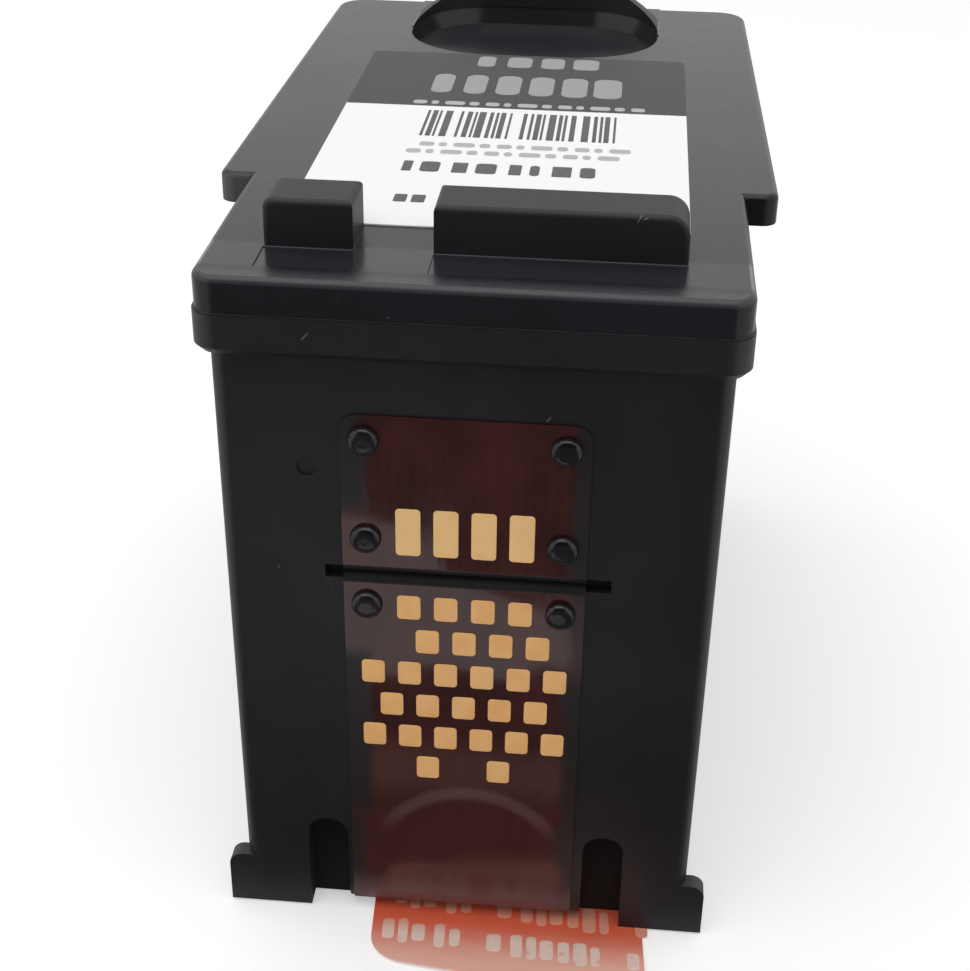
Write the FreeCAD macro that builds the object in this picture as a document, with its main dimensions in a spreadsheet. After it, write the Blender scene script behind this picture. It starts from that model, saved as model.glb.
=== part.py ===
"""An inkjet print cartridge: a moulded ink tank with its print chip, film circuit, lid and tape.

Every size is a cell of the sheet below, in millimetres or degrees. While a piece is drawn,
x runs across the cartridge from its middle, y runs back from the flat contact face, and z
runs up from the feet. The finished pieces are then moved together, so that the origin is
the middle of the footprint on the surface that the cartridge stands on.
"""
import FreeCAD, Part
import math
import os
import re
import Sketcher

Vector = FreeCAD.Vector

SIZES = [
    ("tank_height", 49.5, "feet to the seam under the lid"),
    ("tank_length", 68.2, "contact face to the rear wall"),
    ("tank_width_top", 33.5, "across the tank under its rim"),
    ("tank_width_foot", 33.1, "across the tank at its feet"),
    ("tank_corner", 1.0, "radius of the tank's upright corners"),
    ("tank_wall", 1.5, "side and rear walls, and the floor behind the step"),
    ("front_wall", 2.4, "wall that carries the contacts"),
    ("floor_height", 10.2, "floor of the tank above the nose"),
    ("step_start", 38.0, "contact face to the step in the underside"),
    ("step_run", 3.0, "slope of the step"),
    ("step_height", 5.0, "rise of the underside behind the step"),
    ("rim_height", 2.8, "band round the mouth of the tank"),
    ("rim_proud", 0.15, "band beyond the edge of the lid"),
    ("rim_corner", 1.7, "radius of the band's upright corners"),
    ("rim_edge", 0.5, "slope under the band"),
    ("lug_span", 35.9, "across the two guide lugs"),
    ("lug_height", 4.5, "height of a guide lug"),
    ("lug_depth", 1.3, "guide lug, front to back"),
    ("lug_corner", 1.0, "radius of a lug's upper corner"),
    ("nose_width", 17.5, "nose between the two notches"),
    ("nose_edge", 2.0, "radius that the film turns round under the nose"),
    ("notch_width", 3.0, "notch beside the nose"),
    ("notch_height", 8.6, "top of a notch above the feet"),
    ("notch_depth", 1.7, "depth of a notch"),
    ("notch_corner", 1.4, "radius of a notch's upper corners"),
    ("groove_bottom", 30.05, "lower edge of the cross groove"),
    ("groove_height", 1.0, "width of the cross groove"),
    ("groove_depth", 0.8, "depth of the cross groove"),
    ("groove_span", 19.4, "length of the cross groove"),
    ("mark_side", 10.7, "gate mark to the left of the middle"),
    ("mark_height", 38.5, "gate mark above the feet"),
    ("mark_diameter", 1.3, "gate mark"),
    ("mark_depth", 0.15, "gate mark"),
    ("stake_middle", -0.25, "middle of the two columns of heat stakes"),
    ("stake_span", 13.2, "between the two columns of heat stakes"),
    ("stake_upper", 40.8, "top row of heat stakes"),
    ("stake_middle_row", 33.4, "row of heat stakes above the groove"),
    ("stake_lower", 28.15, "row of heat stakes under the groove"),
    ("stake_diameter", 1.1, "post of a heat stake"),
    ("stake_head", 1.95, "flattened head of a heat stake"),
    ("stake_head_height", 0.5, "head of a heat stake above the film"),
    ("stake_dome", 0.3, "slope round the rim of a head"),
    ("film_thickness", 0.12, "film circuit"),
    ("film_left", 8.45, "film to the left of the middle"),
    ("film_right", 8.0, "film to the right of the middle"),
    ("film_top", 42.6, "top of the film above the feet"),
    ("film_tail", 25.0, "film under the nose, back from the contact face"),
    ("film_corner", 1.2, "radius of the film's upper corners"),
    ("crease_depth", 0.6, "fold of the film in the cross groove"),
    ("crease_lean", 0.1, "lean of each side of the fold"),
    ("relief_depth", 0.7, "cut-outs at the ends of the fold"),
    ("relief_margin", 0.25, "cut-outs beyond the groove"),
    ("hole_clearance", 0.1, "film hole round the post of a heat stake"),
    ("bed_clearance", 0.3, "bed under the nose beyond the film's tail"),
    ("contact_pitch", 2.54, "between the contacts of a row"),
    ("contact_row_pitch", 2.75, "between the rows of contacts"),
    ("contact_middle", -0.18, "middle of the rows of contacts"),
    ("contact_upper_row", 34.0, "row of tall contacts above the feet"),
    ("contact_first_row", 28.0, "first row of small contacts above the feet"),
    ("contact_width", 1.62, "small contact"),
    ("contact_height", 1.9, "small contact"),
    ("tall_contact_width", 1.68, "tall contact"),
    ("tall_contact_height", 3.6, "tall contact"),
    ("contact_thickness", 0.06, "contact above the film"),
    ("contact_corner", 0.18, "cut across each corner of a contact"),
    ("chip_width", 5.2, "print chip across"),
    ("chip_length", 16.4, "print chip, front to back"),
    ("chip_thickness", 0.7, "print chip"),
    ("chip_start", 4.6, "contact face to the front end of the chip"),
    ("sealant_width", 0.7, "sealant round the chip"),
    ("window_margin", 0.3, "window of the film beyond the sealant"),
    ("slot_width", 1.4, "ink slot above the chip"),
    ("slot_length", 13.5, "ink slot above the chip"),
    ("well_floor", 6.0, "floor of the ink well above the feet"),
    ("well_diameter", 8.4, "ink well under the filter"),
    ("collar_diameter", 10.6, "collar round the ink well"),
    ("collar_height", 1.0, "collar above the floor of the tank"),
    ("filter_diameter", 9.8, "filter screen"),
    ("filter_thickness", 0.25, "filter screen"),
    ("absorber_clearance", 0.3, "between the absorber and the walls"),
    ("lid_width", 35.0, "lid in front of the grips"),
    ("lid_reach", 69.5, "contact face to the lid's rear edge"),
    ("lid_overhang", 1.0, "lid in front of the contact face"),
    ("lid_thickness", 2.52, "lid"),
    ("lid_corner", 1.6, "radius of the lid's front corners"),
    ("lid_edge", 0.45, "radius round the top of the lid"),
    ("grip_start", 17.9, "contact face to the side grips"),
    ("grip_width_front", 39.7, "across the grips at the front"),
    ("grip_width_rear", 38.8, "across the grips at the rear"),
    ("grip_thickness", 2.2, "side grips"),
    ("grip_corner", 1.1, "radius of the grips' front corners"),
    ("grip_rear_corner", 2.6, "radius of the grips' rear corners"),
    ("rib_start", 4.55, "contact face to the latch ribs"),
    ("rib_depth", 4.3, "latch ribs, front to back"),
    ("rib_height", 3.15, "latch ribs above the lid"),
    ("small_rib_left", 13.8, "outer end of the small rib, left of the middle"),
    ("small_rib_length", 5.85, "small rib"),
    ("large_rib_right", 13.35, "outer end of the large rib, right of the middle"),
    ("large_rib_length", 16.15, "large rib"),
    ("small_rib_corner", 0.7, "radius of the small rib's outer upper corner"),
    ("large_rib_corner", 1.4, "radius of the large rib's outer upper corner"),
    ("rib_edge", 0.4, "radius of a rib's other upper edges"),
    ("pad_start", 1.05, "contact face to the sunk pads before the ribs"),
    ("pad_depth", 0.1, "depth of the sunk pads"),
    ("dish_width", 22.4, "thumb dish across"),
    ("dish_start", 51.2, "contact face to the front of the thumb dish"),
    ("dish_length", 16.8, "thumb dish, front to back"),
    ("dish_corner", 7.6, "radius of the dish's corners"),
    ("dish_depth", 1.4, "depth of the thumb dish"),
    ("dish_slope", 0.5, "slope of the dish's sides"),
    ("tab_width", 22.8, "raised thumb rest behind the dish, at its foot"),
    ("tab_height", 3.3, "raised thumb rest above the lid"),
    ("tab_length", 9.9, "raised thumb rest, front to back"),
    ("tab_wall", 1.3, "wall of the thumb rest round the dish"),
    ("skirt_clearance", 0.15, "between the lid's skirt and the tank"),
    ("skirt_thickness", 1.2, "skirt under the lid"),
    ("skirt_depth", 2.0, "skirt under the lid"),
    ("press_depth", 3.0, "ribs under the lid that hold the absorber down"),
    ("press_thickness", 1.2, "ribs under the lid"),
    ("press_pitch", 14.0, "between the ribs under the lid"),
    ("press_start", 9.0, "contact face to the first rib under the lid"),
    ("vent_diameter", 0.8, "air hole through the lid"),
    ("vent_groove_width", 0.5, "winding air groove"),
    ("vent_groove_depth", 0.3, "winding air groove"),
    ("vent_run", 9.0, "length of one run of the air groove"),
    ("vent_pitch", 1.5, "between the runs of the air groove"),
    ("vent_start", 28.0, "contact face to the first run of the air groove"),
    ("label_thickness", 0.1, "label"),
    ("label_left", 13.45, "label to the left of the middle"),
    ("label_right", 13.55, "label to the right of the middle"),
    ("label_gap", 0.1, "between the label and the ribs"),
    ("label_margin", 0.4, "between the label and the thumb dish"),
    ("label_corner", 0.8, "radius of the label's corners"),
    ("tape_thickness", 0.15, "protective tape"),
    ("tape_width", 20.4, "protective tape"),
    ("tape_offset", 3.3, "tape's middle to the right at the contact face"),
    ("tape_skew", 3.5, "turn of the tape seen from above, in degrees"),
    ("tape_tail", 24.0, "tape under the nose, back from the contact face"),
    ("tab_reach", 8.6, "free end of the tape before the contact face, at its longer side"),
    ("tab_slant", 11.5, "slant of the free end across the tape, in degrees"),
    ("tab_flat", 0.8, "flat stretch of the free end"),
    ("tab_curl", 38.0, "radius that the free end curls up with"),
    ("tab_round", 3.0, "radius of the free end's corners"),
]
STAKE_ROWS = ["stake_upper", "stake_middle_row", "stake_lower"]
SMALL_CONTACT_ROWS = [
    (-3, -1, 1, 3),
    (-2, 0, 2, 4),
    (-5, -3, -1, 1, 3, 5),
    (-4, -2, 0, 2, 4),
    (-5, -3, -1, 1, 3, 5),
    (-2, 2),
]
TALL_CONTACT_ROW = (-3, -1, 1, 3)
PRESS_RIBS = 4
VENT_RUNS = 5
# The tallest overshoot of a cut past the face where it starts, and what counts as the same place.
BEYOND = 1.0
NEAR = 0.02
# The points of a line, an arc or a circle as a sketch numbers them, from 1, and the sketch's origin.
START, END, CENTRE = range(1, 4)
ORIGIN = (-1, START)

doc = FreeCAD.newDocument("ink_cartridge")
dims = doc.addObject("Spreadsheet::Sheet", "dims")
for row, (alias, value, meaning) in enumerate(SIZES, start=1):
    dims.set("A%d" % row, alias)
    dims.set("B%d" % row, str(value))
    dims.set("C%d" % row, meaning)
    dims.setAlias("B%d" % row, alias)
doc.recompute()
ALIASES = {alias for alias, value, meaning in SIZES}


def cells(formula):
    """The formula with every size's name pointing at its cell of the sheet."""
    def point(found):
        word = found.group()
        return "dims." + word if word in ALIASES else word
    return re.sub(r"[a-z_][a-z0-9_]*", point, str(formula))


def size(formula):
    """What a formula of sizes comes to."""
    found = dims.evalExpression(cells(formula))
    return float(getattr(found, "Value", found))


# The frame: the footprint runs from the tip of the tape to the rear of the rim.
TAB_TURN = "tab_round * (tan(tab_slant) + 1 / cos(tab_slant))"
TIP = ("((tab_reach - " + TAB_TURN + ") * cos(tape_skew)"
       " - (tape_width / 2 - tab_round) * sin(tape_skew) + tab_round)")
FACE_Y = "(" + TIP + " - lid_reach - rim_proud) / 2"
LID_TOP = "(tank_height + lid_thickness)"
CHIP_MIDDLE = "(chip_start + chip_length / 2)"
WELL_TOP = "(floor_height + collar_height)"
REAR_FLOOR = "(step_height + tank_wall)"
CAVITY_WIDTH = "(tank_width_foot - 2 * tank_wall)"
CAVITY_END = "(tank_length - tank_wall)"
DISH_END = "(dish_start + dish_length)"


def new_body(name):
    """An empty body, which will stand with the others in the cartridge's frame."""
    body = doc.addObject("PartDesign::Body", name)
    body.Label = name
    body.setExpression("Placement.Base.y", cells(FACE_Y))
    body.setExpression("Placement.Base.z", cells("tape_thickness"))
    return body


def sketch_on(body, name, role, offset="0"):
    """A sketch on one of the body's own planes, or parallel to it at an offset."""
    sketch = body.newObject("Sketcher::SketchObject", name)
    plane = [item for item in body.Origin.OriginFeatures if item.Role == role]
    sketch.AttachmentSupport = [(plane[0], "")]
    sketch.MapMode = "FlatFace"
    sketch.setExpression("AttachmentOffset.Base.z", cells(offset))
    return sketch


def locate(sketch, geometry, corner, x, y):
    """Holds one point of a sketch at two formulas, measured from the sketch's origin."""
    for kind, formula in (("DistanceX", x), ("DistanceY", y)):
        number = sketch.addConstraint(Sketcher.Constraint(kind, *ORIGIN, geometry, corner, size(formula)))
        sketch.setExpression("Constraints[%d]" % number, cells(formula))


def outline(sketch, points):
    """A closed outline. A point with a radius and a side is reached by an arc.

    The side is 1 where the arc's centre lies to the left of the way to that point, or else -1.
    """
    places = [Vector(size(point[0]), size(point[1]), 0) for point in points]
    edges = []
    for number, point in enumerate(points):
        start, end = places[number - 1], places[number]
        if len(point) == 2:
            edges.append((sketch.addGeometry(Part.LineSegment(start, end)), START, END))
            continue
        radius, side = size(point[2]), point[3]
        half = (end - start) * 0.5
        across = Vector(-half.y, half.x, 0).normalize() * side
        rise = math.sqrt(max(radius ** 2 - half.Length ** 2, 0.0))
        centre = start + half + across * rise
        bottom = centre - across * radius
        ends = (start, end) if side > 0 else (end, start)
        arc = sketch.addGeometry(Part.Arc(ends[0], bottom, ends[1]))
        sketch_radius = sketch.addConstraint(Sketcher.Constraint("Radius", arc, radius))
        sketch.setExpression("Constraints[%d]" % sketch_radius, cells(point[2]))
        edges.append((arc, START, END) if side > 0 else (arc, END, START))
    for number, point in enumerate(points):
        edge, start_corner, end_corner = edges[number]
        following = edges[(number + 1) % len(edges)]
        sketch.addConstraint(Sketcher.Constraint("Coincident", edge, end_corner, following[0], following[1]))
        locate(sketch, edge, end_corner, point[0], point[1])


def mirrored(point):
    """The same point on the other side of the middle."""
    return ("-(%s)" % point[0], point[1])


def rectangle(sketch, left, right, low, high):
    """A closed rectangle between four formulas."""
    outline(sketch, [(left, low), (right, low), (right, high), (left, high)])


def rounded_rectangle(sketch, left, right, low, high, radius):
    """A closed rectangle with four round corners."""
    left_in, right_in = "%s + %s" % (left, radius), "%s - (%s)" % (right, radius)
    low_in, high_in = "%s + %s" % (low, radius), "%s - (%s)" % (high, radius)
    outline(sketch, [
        (right_in, low), (right, low_in, radius, 1), (right, high_in), (right_in, high, radius, 1),
        (left_in, high), (left, high_in, radius, 1), (left, low_in), (left_in, low, radius, 1),
    ])


def circle(sketch, x, y, diameter):
    """A circle at two formulas."""
    ring = sketch.addGeometry(Part.Circle(Vector(size(x), size(y), 0), Vector(0, 0, 1), size(diameter) / 2))
    number = sketch.addConstraint(Sketcher.Constraint("Diameter", ring, size(diameter)))
    sketch.setExpression("Constraints[%d]" % number, cells(diameter))
    locate(sketch, ring, CENTRE, x, y)


def volume_of(body):
    """The volume of a body as it is drawn so far."""
    doc.recompute()
    return body.Shape.Volume if body.Tip else 0.0


def grow(body, name, sketch, length, back=False, both=False):
    """Pads a sketch, and makes sure that the body grew."""
    before = volume_of(body)
    feature = body.newObject("PartDesign::Pad", name)
    feature.Profile = sketch
    feature.SideType = "Symmetric" if both else "One side"
    feature.Reversed = back
    feature.setExpression("Length", cells(length))
    if volume_of(body) <= before:
        raise RuntimeError(name + " adds nothing")
    return feature


def sink(body, name, sketch, depth, back=False, both=False):
    """Pockets a sketch, and makes sure that the body shrank."""
    before = volume_of(body)
    feature = body.newObject("PartDesign::Pocket", name)
    feature.Profile = sketch
    feature.SideType = "Symmetric" if both else "One side"
    feature.Reversed = back
    feature.setExpression("Length", cells(depth))
    if volume_of(body) >= before:
        raise RuntimeError(name + " cuts nothing")
    return feature


def within(edge, low, high):
    """Whether an edge lies in a box, given by two corners of formulas."""
    box = edge.BoundBox
    lowest = (box.XMin, box.YMin, box.ZMin)
    highest = (box.XMax, box.YMax, box.ZMax)
    for axis in range(3):
        if lowest[axis] < size(low[axis]) - NEAR or highest[axis] > size(high[axis]) + NEAR:
            return False
    return True


def runs_along(edge, axis):
    """Whether an edge is straight and runs along an axis, or leans from it by a degree at most."""
    if not isinstance(edge.Curve, Part.Line):
        return False
    return abs(edge.Curve.Direction[axis]) > 0.999


def finish_edges(body, kind, name, reach, chosen):
    """Puts a Fillet or a Chamfer on the edges of the body so far that a test picks."""
    doc.recompute()
    base = body.Tip
    names = ["Edge%d" % (number + 1) for number, edge in enumerate(base.Shape.Edges) if chosen(edge)]
    if not names:
        raise RuntimeError(name + " finds no edge")
    feature = body.newObject("PartDesign::" + kind, name)
    feature.Base = (base, names)
    feature.setExpression("Radius" if kind == "Fillet" else "Size", cells(reach))
    doc.recompute()
    if not feature.isValid():
        raise RuntimeError(name + " failed")
    return feature


def round_edges(body, name, radius, chosen):
    """Rounds the edges that a test picks."""
    return finish_edges(body, "Fillet", name, radius, chosen)


def slope_edges(body, name, reach, chosen):
    """Bevels the edges that a test picks."""
    return finish_edges(body, "Chamfer", name, reach, chosen)


def upright_at(x, y):
    """A test for upright edges at a place in plan, given by formulas that are mirrored in x."""
    def chosen(edge):
        middle = edge.CenterOfMass
        return runs_along(edge, 2) and abs(abs(middle.x) - size(x)) < 0.3 and abs(middle.y - size(y)) < NEAR
    return chosen


def make_tank():
    """The moulded tank: walls, rim, nose, notches, lugs, heat stakes and ink well."""
    body = new_body("tank_body")
    face = sketch_on(body, "tank_outline", "XZ_Plane")
    outline(face, [
        ("-tank_width_foot / 2", "0"), ("tank_width_foot / 2", "0"),
        ("tank_width_top / 2", "tank_height"), ("-tank_width_top / 2", "tank_height"),
    ])
    grow(body, "tank_block", face, "tank_length", back=True)
    middle_width = "(tank_width_foot + tank_width_top) / 4"
    round_edges(body, "tank_corners", "tank_corner", lambda edge: (
        upright_at(middle_width, "0")(edge) or upright_at(middle_width, "tank_length")(edge)))

    rim = sketch_on(body, "rim_outline", "XY_Plane", "tank_height - rim_height")
    rectangle(rim, "-(lid_width / 2 + rim_proud)", "lid_width / 2 + rim_proud",
              "-(lid_overhang + rim_proud)", "lid_reach + rim_proud")
    grow(body, "rim", rim, "rim_height")
    rim_side = "lid_width / 2 + rim_proud"
    round_edges(body, "rim_corners", "rim_corner", lambda edge: (
        upright_at(rim_side, "-(lid_overhang + rim_proud)")(edge)
        or upright_at(rim_side, "lid_reach + rim_proud")(edge)))
    rim_foot = size("tank_height - rim_height")

    def under_rim(edge):
        box = edge.BoundBox
        if abs(box.ZMin - rim_foot) > NEAR or abs(box.ZMax - rim_foot) > NEAR:
            return False
        if isinstance(edge.Curve, Part.Circle):
            return abs(edge.Curve.Radius - size("rim_corner")) < NEAR
        beside = abs(abs(edge.CenterOfMass.x) - size(rim_side)) < NEAR
        before = abs(box.YMax + size("lid_overhang + rim_proud")) < NEAR
        return beside or before or abs(box.YMin - size("lid_reach + rim_proud")) < NEAR
    slope_edges(body, "rim_edges", "rim_edge", under_rim)

    lugs = sketch_on(body, "lug_outlines", "XZ_Plane")
    inside = "(tank_width_foot / 2 - tank_corner - tank_wall)"
    rectangle(lugs, inside, "lug_span / 2", "0", "lug_height")
    rectangle(lugs, "-lug_span / 2", "-" + inside, "0", "lug_height")
    grow(body, "guide_lugs", lugs, "lug_depth", back=True)
    round_edges(body, "lug_corners", "lug_corner", lambda edge: runs_along(edge, 1) and (
        within(edge, ("lug_span / 2", "0", "lug_height"), ("lug_span / 2", "lug_depth", "lug_height"))
        or within(edge, ("-lug_span / 2", "0", "lug_height"), ("-lug_span / 2", "lug_depth", "lug_height"))))

    cavity = sketch_on(body, "cavity_section", "YZ_Plane")
    outline(cavity, [
        ("front_wall", "floor_height"), ("step_start", "floor_height"), ("step_start", REAR_FLOOR),
        (CAVITY_END, REAR_FLOOR), (CAVITY_END, "tank_height + %g" % BEYOND),
        ("front_wall", "tank_height + %g" % BEYOND),
    ])
    sink(body, "cavity", cavity, CAVITY_WIDTH, both=True)

    step = sketch_on(body, "step_section", "YZ_Plane")
    outline(step, [
        ("step_start", "-%g" % BEYOND), ("tank_length + %g" % BEYOND, "-%g" % BEYOND),
        ("tank_length + %g" % BEYOND, "step_height"), ("step_start + step_run", "step_height"),
        ("step_start", "0"),
    ])
    sink(body, "underside_step", step, "2 * tank_width_top", both=True)

    notches = sketch_on(body, "notch_outlines", "XZ_Plane")
    near, away = "nose_width / 2", "(nose_width / 2 + notch_width)"
    rectangle(notches, near, away, "-%g" % BEYOND, "notch_height")
    rectangle(notches, "-" + away, "-" + near, "-%g" % BEYOND, "notch_height")
    sink(body, "side_notches", notches, "notch_depth")
    round_edges(body, "notch_corners", "notch_corner", lambda edge: runs_along(edge, 1) and (
        within(edge, (near, "0", "notch_height"), (away, "notch_depth", "notch_height"))
        or within(edge, ("-" + away, "0", "notch_height"), ("-" + near, "notch_depth", "notch_height"))))

    bed = sketch_on(body, "film_bed_outline", "XY_Plane")
    rectangle(bed, "-" + near, near, "-%g" % BEYOND, "film_tail + bed_clearance")
    sink(body, "film_bed", bed, "film_thickness", back=True)
    edge_waste = sketch_on(body, "nose_edge_section", "YZ_Plane")
    turn = "(nose_edge + film_thickness)"
    outline(edge_waste, [
        ("-%g" % BEYOND, "-%g" % BEYOND), ("nose_edge", "-%g" % BEYOND), ("nose_edge", "film_thickness"),
        ("0", turn, "nose_edge", -1), ("-%g" % BEYOND, turn),
    ])
    sink(body, "nose_round", edge_waste, "nose_width", both=True)

    seat = sketch_on(body, "chip_seat_outline", "XY_Plane")
    rectangle(seat, "-(chip_width / 2 + sealant_width)", "chip_width / 2 + sealant_width",
              "chip_start - sealant_width", "chip_start + chip_length + sealant_width")
    sink(body, "chip_seat", seat, "chip_thickness", back=True)
    slot = sketch_on(body, "ink_slot_outline", "XY_Plane")
    rectangle(slot, "-slot_width / 2", "slot_width / 2", CHIP_MIDDLE + " - slot_length / 2",
              CHIP_MIDDLE + " + slot_length / 2")
    sink(body, "ink_slot", slot, "well_floor", back=True)
    collar = sketch_on(body, "collar_outline", "XY_Plane", "floor_height")
    circle(collar, "0", CHIP_MIDDLE, "collar_diameter")
    grow(body, "well_collar", collar, "collar_height")
    well = sketch_on(body, "well_outline", "XY_Plane", WELL_TOP)
    circle(well, "0", CHIP_MIDDLE, "well_diameter")
    sink(body, "ink_well", well, WELL_TOP + " - well_floor")

    groove = sketch_on(body, "groove_outline", "XZ_Plane")
    rectangle(groove, "-groove_span / 2", "groove_span / 2", "groove_bottom",
              "groove_bottom + groove_height")
    sink(body, "cross_groove", groove, "groove_depth")
    mark = sketch_on(body, "gate_mark_outline", "XZ_Plane")
    circle(mark, "-mark_side", "mark_height", "mark_diameter")
    sink(body, "gate_mark", mark, "mark_depth")

    posts = sketch_on(body, "stake_outlines", "XZ_Plane")
    heads = sketch_on(body, "stake_head_outlines", "XZ_Plane", "film_thickness")
    for row in STAKE_ROWS:
        for side in ("-", "+"):
            column = "stake_middle %s stake_span / 2" % side
            circle(posts, column, row, "stake_diameter")
            circle(heads, column, row, "stake_head")
    grow(body, "stake_posts", posts, "film_thickness")
    grow(body, "stake_heads", heads, "stake_head_height")
    head_face = "-(film_thickness + stake_head_height)"
    slope_edges(body, "stake_domes", "stake_dome", lambda edge: within(
        edge, ("-tank_width_foot", head_face, "0"), ("tank_width_foot", head_face, "tank_height")))
    return body


def make_lid():
    """The lid: slab, side grips, latch ribs, thumb dish, skirt, air hole and winding groove."""
    body = new_body("lid")
    slab = sketch_on(body, "slab_outline", "XY_Plane", "tank_height")
    rectangle(slab, "-lid_width / 2", "lid_width / 2", "-lid_overhang", "lid_reach")
    grow(body, "slab", slab, "lid_thickness")
    slab_ends = [upright_at("lid_width / 2", end) for end in ("-lid_overhang", "lid_reach")]
    round_edges(body, "slab_corners", "lid_corner", lambda edge: any(at_end(edge) for at_end in slab_ends))
    grips = sketch_on(body, "grip_outline", "XY_Plane", LID_TOP + " - grip_thickness")
    taper = "((grip_width_front - grip_width_rear) / 2 / (lid_reach - grip_start))"
    front_end = ("grip_width_front / 2 - grip_corner", "grip_start")
    front_side = ("grip_width_front / 2 - grip_corner * " + taper, "grip_start + grip_corner")
    rear_side = ("grip_width_rear / 2 + grip_rear_corner * " + taper, "lid_reach - grip_rear_corner")
    rear_end = ("grip_width_rear / 2 - grip_rear_corner", "lid_reach")
    outline(grips, [
        front_end, (*front_side, "grip_corner", 1),
        rear_side, (*rear_end, "grip_rear_corner", 1),
        mirrored(rear_end), (*mirrored(rear_side), "grip_rear_corner", 1),
        mirrored(front_side), (*mirrored(front_end), "grip_corner", 1),
    ])
    grow(body, "side_grips", grips, "grip_thickness")
    reach = "(grip_width_front + lid_reach)"
    round_edges(body, "lid_edges", "lid_edge", lambda edge: within(
        edge, ("-" + reach, "-" + reach, LID_TOP), (reach, reach, LID_TOP)))

    rib_end = "(rib_start + rib_depth)"
    small = ("-small_rib_left", "-small_rib_left + small_rib_length")
    large = ("large_rib_right - large_rib_length", "large_rib_right")
    ribs = sketch_on(body, "rib_outlines", "XY_Plane", LID_TOP)
    for left, right in (small, large):
        rectangle(ribs, left, right, "rib_start", rib_end)
    grow(body, "latch_ribs", ribs, "rib_height")
    crest = "(tank_height + lid_thickness + rib_height)"
    for name, corner in ("small_rib_corner", small[0]), ("large_rib_corner", large[1]):
        round_edges(body, name + "_round", name, lambda edge: within(
            edge, (corner, "rib_start", crest), (corner, rib_end, crest)))
    round_edges(body, "rib_edges", "rib_edge", lambda edge: within(
        edge, (small[0], "rib_start", crest), (large[1], rib_end, crest)) and (
            not runs_along(edge, 1) or within(
                edge, (small[1], "rib_start", crest), (large[0], rib_end, crest))))
    pads = sketch_on(body, "sunk_pad_outlines", "XY_Plane", LID_TOP)
    for left, right in (small, large):
        rectangle(pads, left, right, "pad_start", "rib_start")
    sink(body, "sunk_pads", pads, "pad_depth")

    rest = sketch_on(body, "thumb_rest_outline", "XZ_Plane", "-(lid_reach - tab_length)")
    arch = "((tab_width / 2) ^ 2 + tab_height ^ 2) / (2 * tab_height)"
    outline(rest, [("tab_width / 2", LID_TOP + " - dish_depth"), ("tab_width / 2", LID_TOP),
                   ("-tab_width / 2", LID_TOP, arch, 1), ("-tab_width / 2", LID_TOP + " - dish_depth")])
    grow(body, "thumb_rest", rest, "tab_length", back=True)
    waste = sketch_on(body, "thumb_rest_waste", "XY_Plane", LID_TOP + " + tab_height")
    side, front = "(dish_width / 2 + tab_wall)", "dish_start - tab_wall"
    rectangle(waste, "-(%s + %g)" % (side, BEYOND), "%s + %g" % (side, BEYOND), front + " - %g" % BEYOND,
              "lid_reach + %g" % BEYOND)
    rounded_rectangle(waste, "-" + side, side, front, DISH_END + " + tab_wall", "(dish_corner + tab_wall)")
    sink(body, "thumb_rest_back", waste, "tab_height")
    mouth = sketch_on(body, "dish_mouth", "XY_Plane", LID_TOP)
    rounded_rectangle(mouth, "-dish_width / 2", "dish_width / 2", "dish_start", DISH_END, "dish_corner")
    sink(body, "thumb_rest_hollow", mouth, "tab_height + tank_wall", back=True)
    floor = sketch_on(body, "dish_floor", "XY_Plane", LID_TOP + " - dish_depth")
    rounded_rectangle(floor, "-(dish_width / 2 - dish_slope)", "dish_width / 2 - dish_slope",
                      "dish_start + dish_slope", DISH_END + " - dish_slope", "(dish_corner - dish_slope)")
    before = volume_of(body)
    dish = body.newObject("PartDesign::SubtractiveLoft", "thumb_dish")
    dish.Profile = mouth
    dish.Sections = [floor]
    dish.Ruled = True
    if volume_of(body) >= before:
        raise RuntimeError("the thumb dish cuts nothing")

    inner = CAVITY_WIDTH + " / 2 - skirt_clearance"
    front, rear = "front_wall + skirt_clearance", CAVITY_END + " - skirt_clearance"
    skirt = sketch_on(body, "skirt_outline", "XY_Plane", "tank_height")
    rectangle(skirt, "-(%s)" % inner, inner, front, rear)
    rectangle(skirt, "-(%s - skirt_thickness)" % inner, inner + " - skirt_thickness",
              front + " + skirt_thickness", rear + " - skirt_thickness")
    grow(body, "skirt", skirt, "skirt_depth", back=True)
    press = sketch_on(body, "press_rib_outlines", "XY_Plane", "tank_height")
    for number in range(PRESS_RIBS):
        start = "press_start + %d * press_pitch" % number
        rectangle(press, "-(%s - skirt_thickness / 2)" % inner, inner + " - skirt_thickness / 2",
                  start, start + " + press_thickness")
    grow(body, "press_ribs", press, "press_depth", back=True)

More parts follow.
